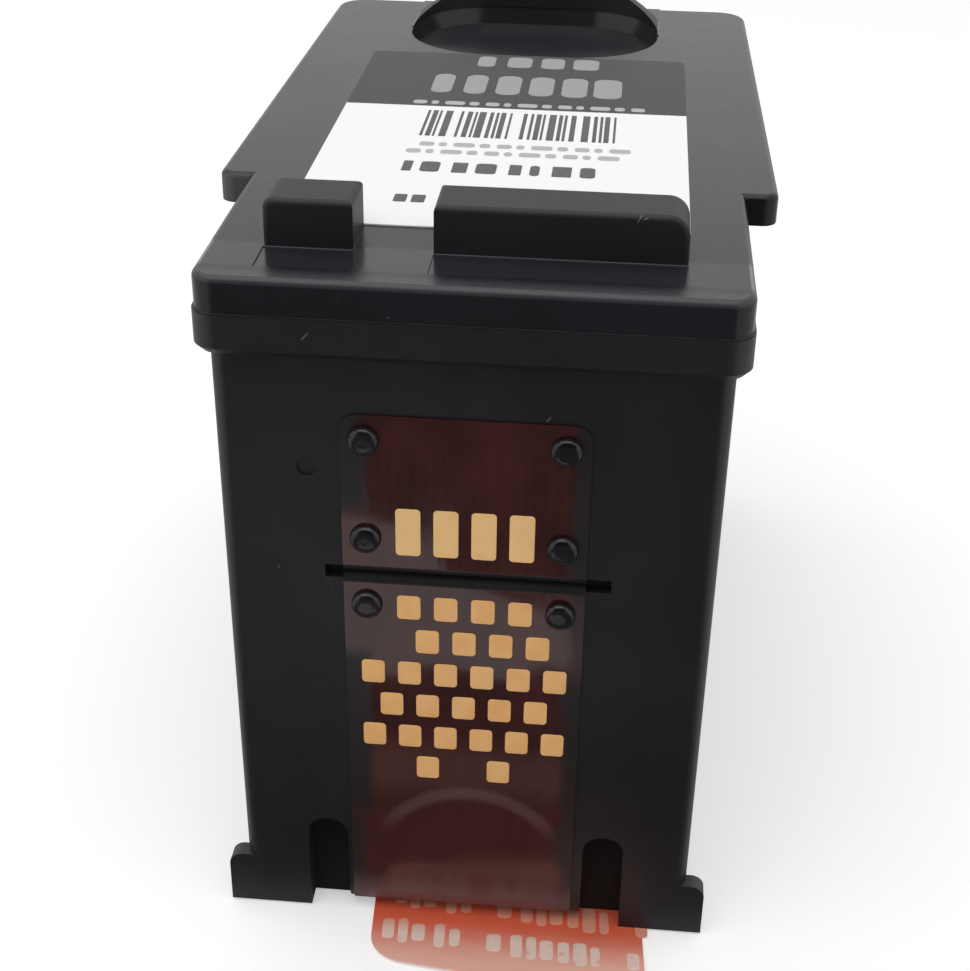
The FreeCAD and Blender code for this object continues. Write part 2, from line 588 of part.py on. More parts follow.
    hole = sketch_on(body, "air_hole_outline", "XY_Plane", LID_TOP)
    half = "vent_groove_width / 2"
    circle(hole, "-vent_run / 2", "vent_start", "vent_diameter")
    sink(body, "air_hole", hole, "lid_thickness + %g" % BEYOND)
    runs = sketch_on(body, "air_runs", "XY_Plane", LID_TOP)
    for number in range(VENT_RUNS):
        middle = "vent_start + %d * vent_pitch" % number
        low, high = "%s - %s" % (middle, half), "%s + %s" % (middle, half)
        rectangle(runs, "-vent_run / 2", "vent_run / 2", low, high)
    sink(body, "air_groove_runs", runs, "vent_groove_depth")
    turns = sketch_on(body, "air_turns", "XY_Plane", LID_TOP)
    for number in range(VENT_RUNS - 1):
        side = "" if number % 2 == 0 else "-"
        middle = "%svent_run / 2" % side
        low = "vent_start + %d * vent_pitch" % number
        rectangle(turns, "%s - %s" % (middle, half), "%s + %s" % (middle, half), "%s - %s" % (low, half),
                  "%s + vent_pitch + %s" % (low, half))
    outlet = "vent_run / 2" if VENT_RUNS % 2 else "-vent_run / 2"
    last = "vent_start + %d * vent_pitch" % (VENT_RUNS - 1)
    rectangle(turns, "%s - %s" % (outlet, half), "%s + %s" % (outlet, half), "%s - %s" % (last, half),
              "dish_start + dish_slope / 4")
    sink(body, "air_groove_turns", turns, "vent_groove_depth")
    return body


def make_label():
    """The label on the lid, from the latch ribs to the thumb dish."""
    body = new_body("label")
    sheet = sketch_on(body, "label_outline", "XY_Plane", LID_TOP)
    rectangle(sheet, "-label_left", "label_right", "rib_start + rib_depth + label_gap",
              "dish_start - label_margin")
    grow(body, "label_sheet", sheet, "label_thickness")
    round_edges(body, "label_corners", "label_corner", lambda edge: runs_along(edge, 2))
    return body


def make_absorber():
    """The foam block that holds the ink, stepped as the floor of the tank is."""
    body = new_body("ink_absorber")
    section = sketch_on(body, "absorber_section", "YZ_Plane")
    low_end = "step_start + absorber_clearance"
    outline(section, [
        ("front_wall + absorber_clearance", WELL_TOP + " + filter_thickness"),
        (low_end, WELL_TOP + " + filter_thickness"), (low_end, REAR_FLOOR),
        (CAVITY_END + " - absorber_clearance", REAR_FLOOR),
        (CAVITY_END + " - absorber_clearance", "tank_height - press_depth"),
        ("front_wall + absorber_clearance", "tank_height - press_depth"),
    ])
    grow(body, "absorber_block", section, CAVITY_WIDTH + " - 2 * absorber_clearance", both=True)
    return body


def make_filter():
    """The fine screen on the collar of the ink well."""
    body = new_body("filter_screen")
    disc = sketch_on(body, "filter_outline", "XY_Plane", WELL_TOP)
    circle(disc, "0", CHIP_MIDDLE, "filter_diameter")
    grow(body, "filter_disc", disc, "filter_thickness")
    return body


def make_film():
    """The film circuit: down the contact face, folded into the groove and round the nose."""
    body = new_body("flex_circuit")
    section = sketch_on(body, "film_section", "YZ_Plane", "-film_left")
    skin = "film_thickness"
    groove_top = "groove_bottom + groove_height"
    turn = "(nose_edge + film_thickness)"
    outline(section, [
        ("0", "groove_bottom + " + skin), ("crease_depth", "groove_bottom + crease_lean + " + skin),
        ("crease_depth", groove_top + " - crease_lean - " + skin),
        ("0", groove_top + " - " + skin), ("0", "film_top"), ("-" + skin, "film_top"),
        ("-" + skin, groove_top + " - 2 * " + skin),
        ("crease_depth - " + skin, groove_top + " - crease_lean - 2 * " + skin),
        ("crease_depth - " + skin, "groove_bottom + crease_lean + 2 * " + skin),
        ("-" + skin, "groove_bottom + 2 * " + skin), ("-" + skin, turn),
        ("nose_edge", "0", turn, 1), ("film_tail", "0"), ("film_tail", skin), ("nose_edge", skin),
        ("0", turn, "nose_edge", -1),
    ])
    grow(body, "film_strip", section, "film_left + film_right")
    round_edges(body, "film_corners", "film_corner", lambda edge: runs_along(edge, 1) and within(
        edge, ("-film_left", "-film_thickness", "film_top"), ("film_right", "0", "film_top")))

    reliefs = sketch_on(body, "relief_outlines", "XZ_Plane", "-groove_depth")
    low, high = "groove_bottom - relief_margin", groove_top + " + relief_margin"
    rectangle(reliefs, "-(film_left + %g)" % BEYOND, "-(film_left - relief_depth)", low, high)
    rectangle(reliefs, "film_right - relief_depth", "film_right + %g" % BEYOND, low, high)
    sink(body, "fold_reliefs", reliefs, "groove_depth + %g" % BEYOND, back=True)
    holes = sketch_on(body, "stake_hole_outlines", "XZ_Plane", "-film_thickness")
    hole = "stake_diameter + 2 * hole_clearance"
    for row in STAKE_ROWS:
        for side in ("-", "+"):
            circle(holes, "stake_middle %s stake_span / 2" % side, row, hole)
    sink(body, "stake_holes", holes, "film_thickness + %g" % BEYOND, back=True)
    window = sketch_on(body, "window_outline", "XY_Plane")
    side = "chip_width / 2 + sealant_width + window_margin"
    rectangle(window, "-(%s)" % side, side, "chip_start - sealant_width - window_margin",
              "chip_start + chip_length + sealant_width + window_margin")
    sink(body, "chip_window", window, "film_thickness", back=True)
    return body


def make_contacts():
    """The gold contacts on the film, in one row of tall ones and six rows of small ones."""
    boxes = []
    rows = [(TALL_CONTACT_ROW, "contact_upper_row", "tall_contact_width", "tall_contact_height")]
    for number, columns in enumerate(SMALL_CONTACT_ROWS):
        height = "contact_first_row - %d * contact_row_pitch" % number
        rows.append((columns, height, "contact_width", "contact_height"))
    for number, (columns, height, wide, tall) in enumerate(rows):
        for column in columns:
            box = doc.addObject("Part::Box", "contact_%d_%d" % (number, column + 6))
            box.setExpression("Length", cells(wide))
            box.setExpression("Width", cells("contact_thickness"))
            box.setExpression("Height", cells(tall))
            middle = "contact_middle + %d * contact_pitch / 2" % column
            box.setExpression("Placement.Base.x", cells("%s - %s / 2" % (middle, wide)))
            box.setExpression("Placement.Base.y", cells("-film_thickness - contact_thickness"))
            box.setExpression("Placement.Base.z", cells("%s - %s / 2" % (height, tall)))
            boxes.append(box)
    group = doc.addObject("Part::Compound", "contact_blanks")
    group.Links = boxes
    doc.recompute()
    pads = doc.addObject("Part::Chamfer", "contact_pads")
    pads.Label = "contact_pads"
    pads.Base = group
    cut = size("contact_corner")
    pads.Edges = [(number + 1, cut, cut) for number, edge in enumerate(group.Shape.Edges)
                  if runs_along(edge, 1)]
    pads.setExpression("Placement.Base.y", cells(FACE_Y))
    pads.setExpression("Placement.Base.z", cells("tape_thickness"))
    return pads


def make_chip():
    """The print chip, with its nozzle face level with the feet."""
    body = new_body("print_chip")
    plan = sketch_on(body, "chip_outline", "XY_Plane")
    rectangle(plan, "-chip_width / 2", "chip_width / 2", "chip_start", "chip_start + chip_length")
    grow(body, "chip_block", plan, "chip_thickness")
    return body


def make_sealant():
    """The cured sealant that fills the seat round the chip."""
    body = new_body("chip_sealant")
    plan = sketch_on(body, "sealant_outline", "XY_Plane")
    rectangle(plan, "-(chip_width / 2 + sealant_width)", "chip_width / 2 + sealant_width",
              "chip_start - sealant_width", "chip_start + chip_length + sealant_width")
    rectangle(plan, "-chip_width / 2", "chip_width / 2", "chip_start", "chip_start + chip_length")
    grow(body, "sealant_frame", plan, "chip_thickness")
    return body


def make_tape():
    """The pull tape: flat under the nose, with a slanted free end that curls up a little."""
    body = new_body("protective_tape")
    section = sketch_on(body, "tape_section", "YZ_Plane")
    swing = "asin((tab_reach - tab_flat) / tab_curl)"
    inner = "(tab_curl - tape_thickness)"
    outline(section, [
        ("tape_tail", "0"), ("tape_tail", "tape_thickness"), ("-tab_flat", "tape_thickness"),
        ("-tab_flat - %s * sin(%s)" % (inner, swing), "tab_curl - %s * cos(%s)" % (inner, swing), inner, -1),
        ("-tab_reach", "tab_curl - tab_curl * cos(%s)" % swing), ("-tab_flat", "0", "tab_curl", 1),
    ])
    grow(body, "tape_strip", section, "tape_width", both=True)
    corners = sketch_on(body, "tape_end_waste", "XY_Plane")
    side, away, beyond = "tape_width / 2", "tape_width / 2 + %g" % BEYOND, "-tab_reach - %g" % BEYOND
    right = "-tab_reach + " + TAB_TURN
    left = right + " + (tape_width - 2 * tab_round) * tan(tab_slant)"
    drop = " - tab_round * cos(tab_slant)"
    outline(corners, [
        (away, right), (side, right),
        ("tape_width / 2 - tab_round * (1 + sin(tab_slant))", right + drop, "tab_round", -1),
        ("-tape_width / 2 + tab_round * (1 - sin(tab_slant))", left + drop),
        ("-" + side, left, "tab_round", -1),
        ("-(%s)" % away, left), ("-(%s)" % away, beyond), (away, beyond),
    ])
    sink(body, "tape_end", corners, "2 * tab_reach", both=True)
    body.setExpression("Placement.Base.x", cells("tape_offset"))
    body.setExpression("Placement.Base.z", cells("0"))
    body.Placement.Rotation = FreeCAD.Rotation(Vector(0, 0, 1), size("tape_skew"))
    body.setExpression("Placement.Rotation.Angle", cells("tape_skew"))
    return body


def main():
    nodes = [
        make_tank(), make_lid(), make_label(), make_absorber(), make_filter(), make_film(),
        make_contacts(), make_chip(), make_sealant(), make_tape(),
    ]
    doc.recompute()
    for item in doc.Objects:
        if "Invalid" in item.State or "Error" in item.State:
            raise RuntimeError("%s is in state %s" % (item.Name, item.State))
    for node in nodes:
        if node.Shape.isNull() or not node.Shape.isValid():
            raise RuntimeError(node.Label + " has no valid shape")
    os.makedirs("parts", exist_ok=True)
    for node in nodes:
        node.Shape.exportStep(os.path.join("parts", node.Label + ".step"))
        print(node.Label, len(node.Shape.Solids), round(node.Shape.Volume, 2))


main()
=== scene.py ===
"""The looks of an inkjet print cartridge: film circuit, contacts, stakes, label, tape and finishes.

Shapes are worked out in millimetres from the middle of the cartridge (x), its flat contact face
(y, to the rear) and its feet (z, up), and are moved into the frame when they become meshes.
"""
import math

import bpy
import numpy as np
from bpy.props import FloatProperty, FloatVectorProperty, PointerProperty
from bpy.types import Operator, Panel, PropertyGroup
from mathutils import Matrix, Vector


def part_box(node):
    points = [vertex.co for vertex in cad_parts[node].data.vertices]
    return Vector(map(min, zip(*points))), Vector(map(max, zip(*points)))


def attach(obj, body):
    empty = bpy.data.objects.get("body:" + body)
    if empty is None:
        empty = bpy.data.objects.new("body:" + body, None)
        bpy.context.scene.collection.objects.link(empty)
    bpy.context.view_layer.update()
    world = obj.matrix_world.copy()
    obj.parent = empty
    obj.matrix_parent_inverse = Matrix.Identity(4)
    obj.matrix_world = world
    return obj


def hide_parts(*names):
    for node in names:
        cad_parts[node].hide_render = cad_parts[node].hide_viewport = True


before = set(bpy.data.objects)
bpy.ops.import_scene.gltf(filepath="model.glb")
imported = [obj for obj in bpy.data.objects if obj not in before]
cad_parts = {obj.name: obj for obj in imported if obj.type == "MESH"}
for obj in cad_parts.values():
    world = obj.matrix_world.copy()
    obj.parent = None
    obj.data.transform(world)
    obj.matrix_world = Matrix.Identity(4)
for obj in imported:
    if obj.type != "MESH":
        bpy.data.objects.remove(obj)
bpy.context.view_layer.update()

bl_info = {
    "name": "Ink Cartridge Looks",
    "version": (1, 0, 0),
    "blender": (4, 5, 0),
    "location": "3D View > Sidebar > Cartridge",
    "description": "Film circuit, contacts, label, tape and finishes of an inkjet print cartridge",
    "category": "Add Mesh",
}

MM = 0.001
ROOT = "root"


def node_box(node):
    """A node's lowest and highest corner, in millimetres of the frame."""
    low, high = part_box(node)
    return np.array(low) / MM, np.array(high) / MM


def shade(red, green, blue):
    """A colour written as 0 to 255 on a screen, as linear light."""
    screen = np.array([red, green, blue]) / 255.0
    light = np.where(screen <= 0.04045, screen / 12.92, ((screen + 0.055) / 1.055) ** 2.4)
    return tuple(float(part) for part in light)


def scaled(tint, factor):
    """A colour with its light multiplied."""
    return tuple(part * factor for part in tint)


# Where the contact face and the feet are in the frame, and what the frame says of the pieces.
FILM_THICKNESS = 0.12
FILM_LOW, FILM_HIGH = node_box("flex_circuit")
FACE, FOOT = FILM_LOW[1] + FILM_THICKNESS, FILM_LOW[2]
FILM_LEFT, FILM_RIGHT = -FILM_LOW[0], FILM_HIGH[0]
FILM_TOP, FILM_TAIL = FILM_HIGH[2] - FOOT, FILM_HIGH[1] - FACE
LABEL_LOW, LABEL_HIGH = node_box("label")
LABEL_TOP = LABEL_HIGH[2] - FOOT
LID_TOP = LABEL_LOW[2] - FOOT
SEALANT_LOW, SEALANT_HIGH = node_box("chip_sealant")

# Sizes that the construction holds too.
GROOVE_BOTTOM, GROOVE_HEIGHT = 30.05, 1.0
FILM_CORNER, NOSE_EDGE, WINDOW_MARGIN = 1.2, 2.0, 0.3
CREASE_DEPTH, CREASE_LEAN = 0.6, 0.1
STAKE_MIDDLE, STAKE_SPAN = -0.25, 13.2
STAKE_ROWS = (40.8, 33.4, 28.15)
CONTACT_MIDDLE, CONTACT_PITCH, CONTACT_ROW_PITCH = -0.18, 2.54, 2.75
TALL_CONTACT_ROW, TALL_CONTACTS = 34.0, (-3, -1, 1, 3)
FIRST_CONTACT_ROW = 28.0
SMALL_CONTACTS = (
    (-3, -1, 1, 3),
    (-2, 0, 2, 4),
    (-5, -3, -1, 1, 3, 5),
    (-4, -2, 0, 2, 4),
    (-5, -3, -1, 1, 3, 5),
    (-2, 2),
)
TAPE_WIDTH, TAPE_OFFSET, TAPE_THICKNESS, TAPE_TAIL = 20.4, 3.3, 0.15, 24.0
TAPE_REACH, TAPE_FLAT, TAPE_CURL, TAPE_ROUND = 8.6, 0.8, 38.0, 3.0
TAPE_SKEW, TAPE_SLANT = math.radians(3.5), math.radians(11.5)
LID_HALF, LID_FRONT, LID_REAR, LID_CORNER, GRIP_START = 17.5, -1.0, 69.5, 1.6, 17.9
RIB_START, PAD_DEPTH = 4.55, 0.1
DISH_FRONT, DISH_REAR, DISH_HALF = 51.2, 68.0, 11.2
NOTCH_INNER, NOTCH_OUTER, NOTCH_TOP, NOTCH_DEPTH = 8.75, 11.75, 8.6, 1.7

# Sizes of what the construction lacks: the film's arch, ripples and round folds, the weld line, and the
# print on the tape and the label. A wave is given as its rates across and up, and its shift.
ARCH_ACROSS, ARCH_BLUR, ARCH_FOOT, ARCH_RISE, ARCH_SIDES = 0.3, 0.8, 2.2, 3.0, 1.5
RIPPLE_WAVES, RIPPLE_FOOT, RIPPLE_RISE, RIPPLE_FALL = ((0.9, 0.35, 0.8), (-0.2, 0.55, 0.4)), 4.0, 3.0, 2.0
FOLD_OUTER, FOLD_INNER = 0.14, 0.2
SEAM_HEIGHT, SEAM_BEAD, SEAM_SWING = 49.52, 0.05, 0.35
SEAM_WAVES = ((0.5, 31, 0), (0.3, 77, 1), (0.2, 143, 2))
TAPE_ROWS, TAPE_ROW_START, TAPE_ROW_LEFT = (0.0, 3.8), -1.35, -9.4
TAPE_ROW_SLOPE, TAPE_ROW_HEIGHT, TAPE_MARK_CORNER = 0.154, 2.6, 0.32
TAPE_MARKS = (0.9, 0.75, 1.0, 0.8, 0.8, 1.1, 0.9, 0.75, 1.0, 0.85, 1.0, 0.7, 0.9)
TAPE_GAPS = (0.28, 0.3, 0.7, 0.35, 2.0, 0.7, 0.3, 0.25, 0.35, 0.3, 0.28, 2.0, 1.0)
INK_THICKNESS, INK_BEVEL, INK_SUNK = 0.014, 0.004, 0.002

# Steps of the meshes: the film's rows below its top edge, in general, in the fold and round the nose, and
# where the tape's lines run on straight.
TOP_ROWS_END, FILM_STEP, FOLD_STEP, NOSE_STEP, TAPE_STRAIGHT = 1.3, 0.3, 0.04, 0.12, 2.0

# The stage: the soft light, the card that the film mirrors, the flag, the dark wedge of the floor in
# reflections, and where the floor fades to white.
LIGHT_PLACE, LIGHT_LEAN = (-60.0, -120.0), (-14.0, -7.0)
BOUNCE_CARD, CARD_LIFT = ((-24, -57), (-9, -58), (-8, -48), (8, -42), (9, -32), (-24, -30)), 0.3
FLAG_HALF, FLAG_HEIGHT = 280.0, 400.0
WEDGE_START, WEDGE_EDGE = 0.5, 3.5
WEDGE_HALF, WEDGE_SPREAD, WEDGE_BLUR = 42.0, 0.35, 14.0
FLOOR_HALF, FADE_START, FADE_END = 2500.0, 250.0, 1100.0
WHITE, BLACK = (1.0, 1.0, 1.0), (0.0, 0.0, 0.0)

# The plastic: its index of refraction, the spacing of clouds, specks and rubs, and the shades of marks.
PLASTIC_INDEX, LID_INDEX = 1.5, 1.37
CLOUD_SIZE, SPECK_PITCH, GRAIN_RELIEF = 9.0, 4.6, 0.012
RUB_DRAW, RUB_SPACING, RUB_WIDTH, RUB_PATCH = 0.08, 0.9, 0.012, 7.0
# The last shade is of real nicks, and also of the light painted on the lid: painted reflections and
# highlights.
RUB_SHADE, SPECK_SHADE, NICK_AND_PAINTED_LIGHT_SHADE = shade(90, 88, 92), shade(140, 138, 140), shade(150, 148, 154)

# Nicks in the front: middle (x, z), half length and lean in degrees, how they fade at their sides, and
# how far back they fade out.
TANK_NICKS = ((-10.2, 48.4, 0.36, 48.0), (5.1, 42.95, 0.24, 50.0), (-12.9, 30.6, 0.14, 70.0))
LID_NICKS = ((10.1, 54.9, 0.3, 62.0), (10.5, 54.95, 0.16, 20.0))
NICK_WIDTH, NICK_DEPTH = (0.01, 0.05), (5.0, 5.2)

# The lid: roughness off its texture, where the smooth strip before the ribs starts, and how much painted
# light each of its parts gets: painted reflections and highlights that make its colour paler.
FRONT_ROUGHNESS, RIB_ROUGHNESS, STRIP_START, STRIP_BLUR = 0.18, 0.5, 1.2, 0.4
LIGHT_PAINT_SHARES = {"strip": 0.045, "front": 0.01, "edge": 0.11, "dish": 0.03, "ribs": 0.017, "walls": 0.5, "grip": 0.24}

# The film's shades: between which two heights, places across or depths each one fades or lies.
TRACE_PITCH, TRACE_WAVER, TRACE_HEIGHTS = 0.72, 2.2, (8.0, 41.0)
RED_BELOW, PALE_HEIGHTS, HAZE_BELOW = (9.5, 12.5), (12.0, 16.0), (6.0, 12.0)
DARK_LEFT, DARK_LEFT_FOOT, CLEAR_LEFT = (-7.4, -6.2), (8.0, 11.0), (24.0, 35.5)
DARK_RIGHT, CLEAR_RIGHT = (6.4, 7.5), (22.0, 30.0)
DARK_LOW, DARK_LOW_BELOW = (7.0, 8.0), (8.0, 10.0)
ARCH_IN, ARCH_OUT, ARCH_ABOVE = 0.55, 0.35, (7.5, 10.5)
# The bend's heights and depths mark where the film is painted paler as painted reflection.
BEND_BELOW, BEND_BEFORE = (1.4, 4.2), (1.4, 2.2)
# The border colour paints the film dark beside the nose as painted shade, and the fold colour paints the
# groove dark as painted shade.
PALE_FILM, BORDER_AND_PAINTED_SHADE, FOLD_PAINTED_SHADE = shade(98, 66, 60), shade(24, 19, 22), shade(5, 4, 4)

# The contacts, the label, the ink, the tape, the screen and the chip, with waves in radians per millimetre.
TALL_ABOVE, BRIGHT_GOLD = (30.0, 31.0), shade(255, 216, 148)
PAPER_FIBRE, INK_FADE = shade(238, 239, 236), 0.12
# The tape is painted paler towards its free end: painted light.
TAPE_FADE, TAPE_PAINTED_LIGHT = (-5.5, -0.3), shade(255, 200, 182)
THIN_INK_FROM, THIN_INK = (-2.6, -0.6), shade(226, 130, 100)
WIRE_WAVE, NOZZLE_WAVE, NOZZLE_ROW, NOZZLE_SHADE = 40.0, 21.0, 1.1, shade(8, 8, 9)


# Sizes, colours and levels that a user changes.
def length(name, millimetres, description):
    """A size, kept in metres as the frame is."""
    return FloatProperty(name=name, description=description, default=millimetres * MM, unit="LENGTH",
                         precision=5)


def angle(name, radians, description):
    """A turn, kept in radians."""
    return FloatProperty(name=name, description=description, default=radians, unit="ROTATION")


def level(name, value, description):
    """A plain number, such as a brightness or a roughness."""
    return FloatProperty(name=name, description=description, default=value, min=0.0)


def colour(name, screen, description):
    """A colour, written as it looks on a screen."""
    return FloatVectorProperty(name=name, description=description, default=shade(*screen), subtype="COLOR",
                               size=3, min=0.0, max=1.0)


class StageSettings(PropertyGroup):
    """The camera, the lights and the floor."""

    place: FloatVectorProperty(name="Camera", description="Where the camera stands", subtype="TRANSLATION",
                               unit="LENGTH", size=3,
                               default=(9.139 * MM, (FACE - 94.992) * MM, (FOOT + 92.211) * MM))
    bearing: angle("Bearing", 0.0845, "Turn of the camera to the left of straight back")
    dip: angle("Dip", 0.5182, "Camera's tilt below the horizon")
    roll: angle("Roll", 0.0155, "Camera's turn about its line of sight")
    lens: FloatProperty(name="Lens", description="Focal length", default=62.35, unit="CAMERA")
    ambient: level("Ambient", 0.6, "Brightness of the surroundings on matt surfaces")
    softbox: level("Softbox", 1.32, "Brightness of the large soft light overhead")
    softbox_width: length("Softbox width", 560.0, "Side of the soft light")
    softbox_height: length("Softbox height", 500.0, "Soft light above the floor")
    card: level("Bounce card", 0.75, "Brightness of the white card that the glossy film reflects")
    floor: colour("Floor", (232, 232, 232), "Pale matt floor")
    floor_glow: level("Floor glow", 0.36, "Light added where the camera sees the floor, to make it white")
    floor_dark: level("Dark floor in gloss", 0.14, "Brightness of the floor's dark wedge in reflections")
    flag: length("Flag distance", 420.0, "From the contact face to the black flag on the camera's side")


class PlasticSettings(PropertyGroup):
    """The black moulded plastic of the tank, the stakes and the lid."""

    colour: colour("Plastic", (22, 19, 24), "Body colour of the plastic")
    tank_roughness: level("Tank roughness", 0.42, "Roughness of the tank's walls")
    lid_roughness: level("Lid roughness", 0.29, "Roughness of the lid's textured top")
    grain: length("Grain", 0.22, "Size of the moulded grain")


class StakeSettings(PropertyGroup):
    """The heat stakes that hold the film."""

    radius: length("Head radius", 1.04, "Largest radius of a head")
    height: length("Head height", 0.63, "Head above the film")


class FilmSettings(PropertyGroup):
    """The amber film circuit."""

    colour: colour("Film", (62, 25, 23), "Film over black plastic")
    trace: colour("Traces", (78, 36, 27), "Film over the buried copper traces")
    # Painted reflection: round the nose this colour paints the film paler in place of the floor that it
    # mirrors; on the arch it makes a pale band.
    bend: colour("Bend", (106, 80, 82), "Whitened film where it bends round the nose")
    roughness: level("Roughness", 0.06, "Roughness of the film")
    swell: length("Swell", 0.18, "How far the film stands off above the nose")
    swell_radius: length("Swell radius", 7.1, "Radius of the arch where the film lifts off")
    swell_height: length("Swell centre", 5.1, "Centre of that arch above the feet")
    ripple: length("Ripple", 0.015, "Uneven lie of the film")


class ContactSettings(PropertyGroup):
    """The gold contacts."""

    width: length("Width", 1.62, "Small contact across")
    height: length("Height", 1.9, "Small contact's height")
    tall_width: length("Tall width", 1.68, "Tall contact across")
    tall_height: length("Tall height", 3.6, "Tall contact's height")
    corner: length("Corner", 0.27, "Radius of a contact's corners")
    thickness: length("Thickness", 0.06, "Contact above the film")
    bevel: length("Bevel", 0.03, "Rounded rim of a contact")
    colour: colour("Gold", (248, 194, 128), "Gold plating")


class LabelSettings(PropertyGroup):
    """The label and its print, of plain marks only."""

    split: length("Split", 35.3, "Contact face to the line between the white and the dark field")
    white: colour("White field", (250, 250, 248), "Front part of the label")
    dark: colour("Dark field", (24, 24, 25), "Rear part of the label")
    ink: colour("Ink", (70, 68, 72), "Dark marks")
    haze: colour("Fine print", (178, 177, 176), "Pale grey marks")
    light: colour("Light marks", (152, 152, 151), "Marks on the dark field")


class TapeSettings(PropertyGroup):
    """The pull tape under the nose."""

    colour: colour("Tape", (228, 92, 58), "Tape film")
    mark: colour("Marks", (246, 218, 204), "Pale marks printed on the tape")
    wave: length("Wave", 0.1, "Rise of the free end's left corner")


class InnerSettings(PropertyGroup):
    """The pieces inside the tank and under the nose."""

    foam: colour("Foam", (58, 54, 60), "Foam soaked with black ink")
    steel: colour("Steel", (150, 150, 152), "Filter screen")
    silicon: colour("Silicon", (70, 66, 74), "Print chip")
    resin: colour("Resin", (34, 32, 30), "Cured sealant")


# Surfaces, as whole arrays of points.
def used_only(points, faces):
    """The points that the faces use, with the faces numbered to match."""
    used, renumbered = np.unique(faces.ravel(), return_inverse=True)
    return points[used], renumbered.reshape(faces.shape).tolist()


def sheet_shell(front, back, keep=None):
    """A closed sheet between two grids of points: each kept cell front and back, and walls round the edges.

    A face of the front looks along the way down the rows crossed with the way along the columns.
    """
    rows, columns = front.shape[:2]
    count = rows * columns
    number = np.arange(count).reshape(rows, columns)
    keep = np.ones((rows - 1, columns - 1), bool) if keep is None else keep
    corners = (number[:-1, :-1], number[1:, :-1], number[1:, 1:], number[:-1, 1:])
    cells = np.stack([corner[keep] for corner in corners], 1)
    faces = [cells, cells[:, ::-1] + count]
    beyond = np.pad(keep, 1)
    neighbours = (beyond[1:-1, :-2], beyond[2:, 1:-1], beyond[1:-1, 2:], beyond[:-2, 1:-1])
    for side, neighbour in enumerate(neighbours):
        rim = keep & ~neighbour
        start, end = corners[side][rim], corners[(side + 1) % 4][rim]
        faces.append(np.stack([end, start, start + count, end + count], 1))
    points = np.concatenate([front.reshape(-1, 3), back.reshape(-1, 3)])
    return used_only(points, np.concatenate(faces))


def capped_rings(rings, bottom, top):
    """A closed form of rings stacked from the bottom to the top, with a fan to a pole at each end."""
    rows, columns = rings.shape[:2]
    number = np.arange(rows * columns).reshape(rows, columns)
    ahead = np.roll(number, -1, axis=1)
    sides = np.stack([number[:-1], ahead[:-1], ahead[1:], number[1:]], -1).reshape(-1, 4)
    poles = np.full((2, columns), rows * columns) + np.array([[0], [1]])
    under = np.stack([poles[0], ahead[0], number[0]], 1)
    over = np.stack([poles[1], number[-1], ahead[-1]], 1)
    points = np.concatenate([rings.reshape(-1, 3), [bottom, top]])
    return points, sides.tolist() + under.tolist() + over.tolist()


def joined(shapes):
    """Several shapes as one, each given as its points and its faces."""
    points, faces, count = [], [], 0
    for shape_points, shape_faces in shapes:
        points.append(shape_points)
        faces.extend([[count + corner for corner in face] for face in shape_faces])
        count += len(shape_points)
    return np.concatenate(points), faces


def rounded_outline(width, height, corner, steps=6):
    """Points round a rectangle with quarter-circle corners, anticlockwise, as offsets from its middle."""
    corner = min(corner, width / 2, height / 2)
    turn = np.linspace(0.0, math.pi / 2, steps)
    pieces = []
    for number, (side, rise) in enumerate(((1, -1), (1, 1), (-1, 1), (-1, -1))):
        swing = turn + (number - 1) * math.pi / 2
        centre = (side * (width / 2 - corner), rise * (height / 2 - corner))
        pieces.append(np.stack([centre[0] + corner * np.cos(swing), centre[1] + corner * np.sin(swing)], 1))
    return np.concatenate(pieces)


def plate(across, along, width, height, corner, thickness, bevel, crown=0.0, steps=6):
    """A rounded plate: its outline rises to the bevel, turns in over a quarter circle and closes at a crown.

    The height over the plate is thickness + crown * (1 - share ** 2), where share is 0 at the middle.
    """
    rings = []
    for lift in (0.0, thickness - bevel):
        ring = rounded_outline(width, height, corner, steps)
        rings.append(np.column_stack([ring, np.full(len(ring), lift)]))
    for swing in np.radians((30.0, 60.0, 90.0)):
        inset = bevel * (1 - math.cos(swing))
        lift = thickness - bevel + bevel * math.sin(swing)
        ring = rounded_outline(width - 2 * inset, height - 2 * inset, corner - inset, steps)
        rings.append(np.column_stack([ring, np.full(len(ring), lift)]))
    rim = rings[-1]
    for share in (0.7, 0.35):
        ring = rim * (share, share, 0.0)
        ring[:, 2] = thickness + crown * (1 - share ** 2)
        rings.append(ring)
    middle = np.array([across, along, 0.0])
    return capped_rings(np.array(rings) + middle, middle, middle + (0.0, 0.0, thickness + crown))


def rounded_path(corners, step=0.02):
    """A path through corners of (y, z, radius), each turned by an arc of its radius, as dense points."""
    spots = [np.array(corner[:2], float) for corner in corners]
    path = [spots[0]]
    for number in range(1, len(corners) - 1):
        before, here, after = spots[number - 1], spots[number], spots[number + 1]
        arrive = (here - before) / np.linalg.norm(here - before)
        leave = (after - here) / np.linalg.norm(after - here)
        turn = math.acos(np.clip(arrive @ leave, -1, 1))
        reach = corners[number][2] * math.tan(turn / 2)
        side = np.sign(arrive[0] * leave[1] - arrive[1] * leave[0])
        centre = here - arrive * reach + side * corners[number][2] * np.array([-arrive[1], arrive[0]])
        start = here - arrive * reach - centre
        swing = side * np.linspace(0.0, turn, max(3, int(corners[number][2] * turn / step)))
        path.extend(np.stack([
            centre[0] + start[0] * np.cos(swing) - start[1] * np.sin(swing),
            centre[1] + start[0] * np.sin(swing) + start[1] * np.cos(swing)], 1))
    path.append(spots[-1])
    return np.array(path)


def smooth(value):
    """0 up to 0, 1 from 1, and the curve 3 v^2 - 2 v^3 between."""
    value = np.clip(value, 0.0, 1.0)
    return value * value * (3 - 2 * value)


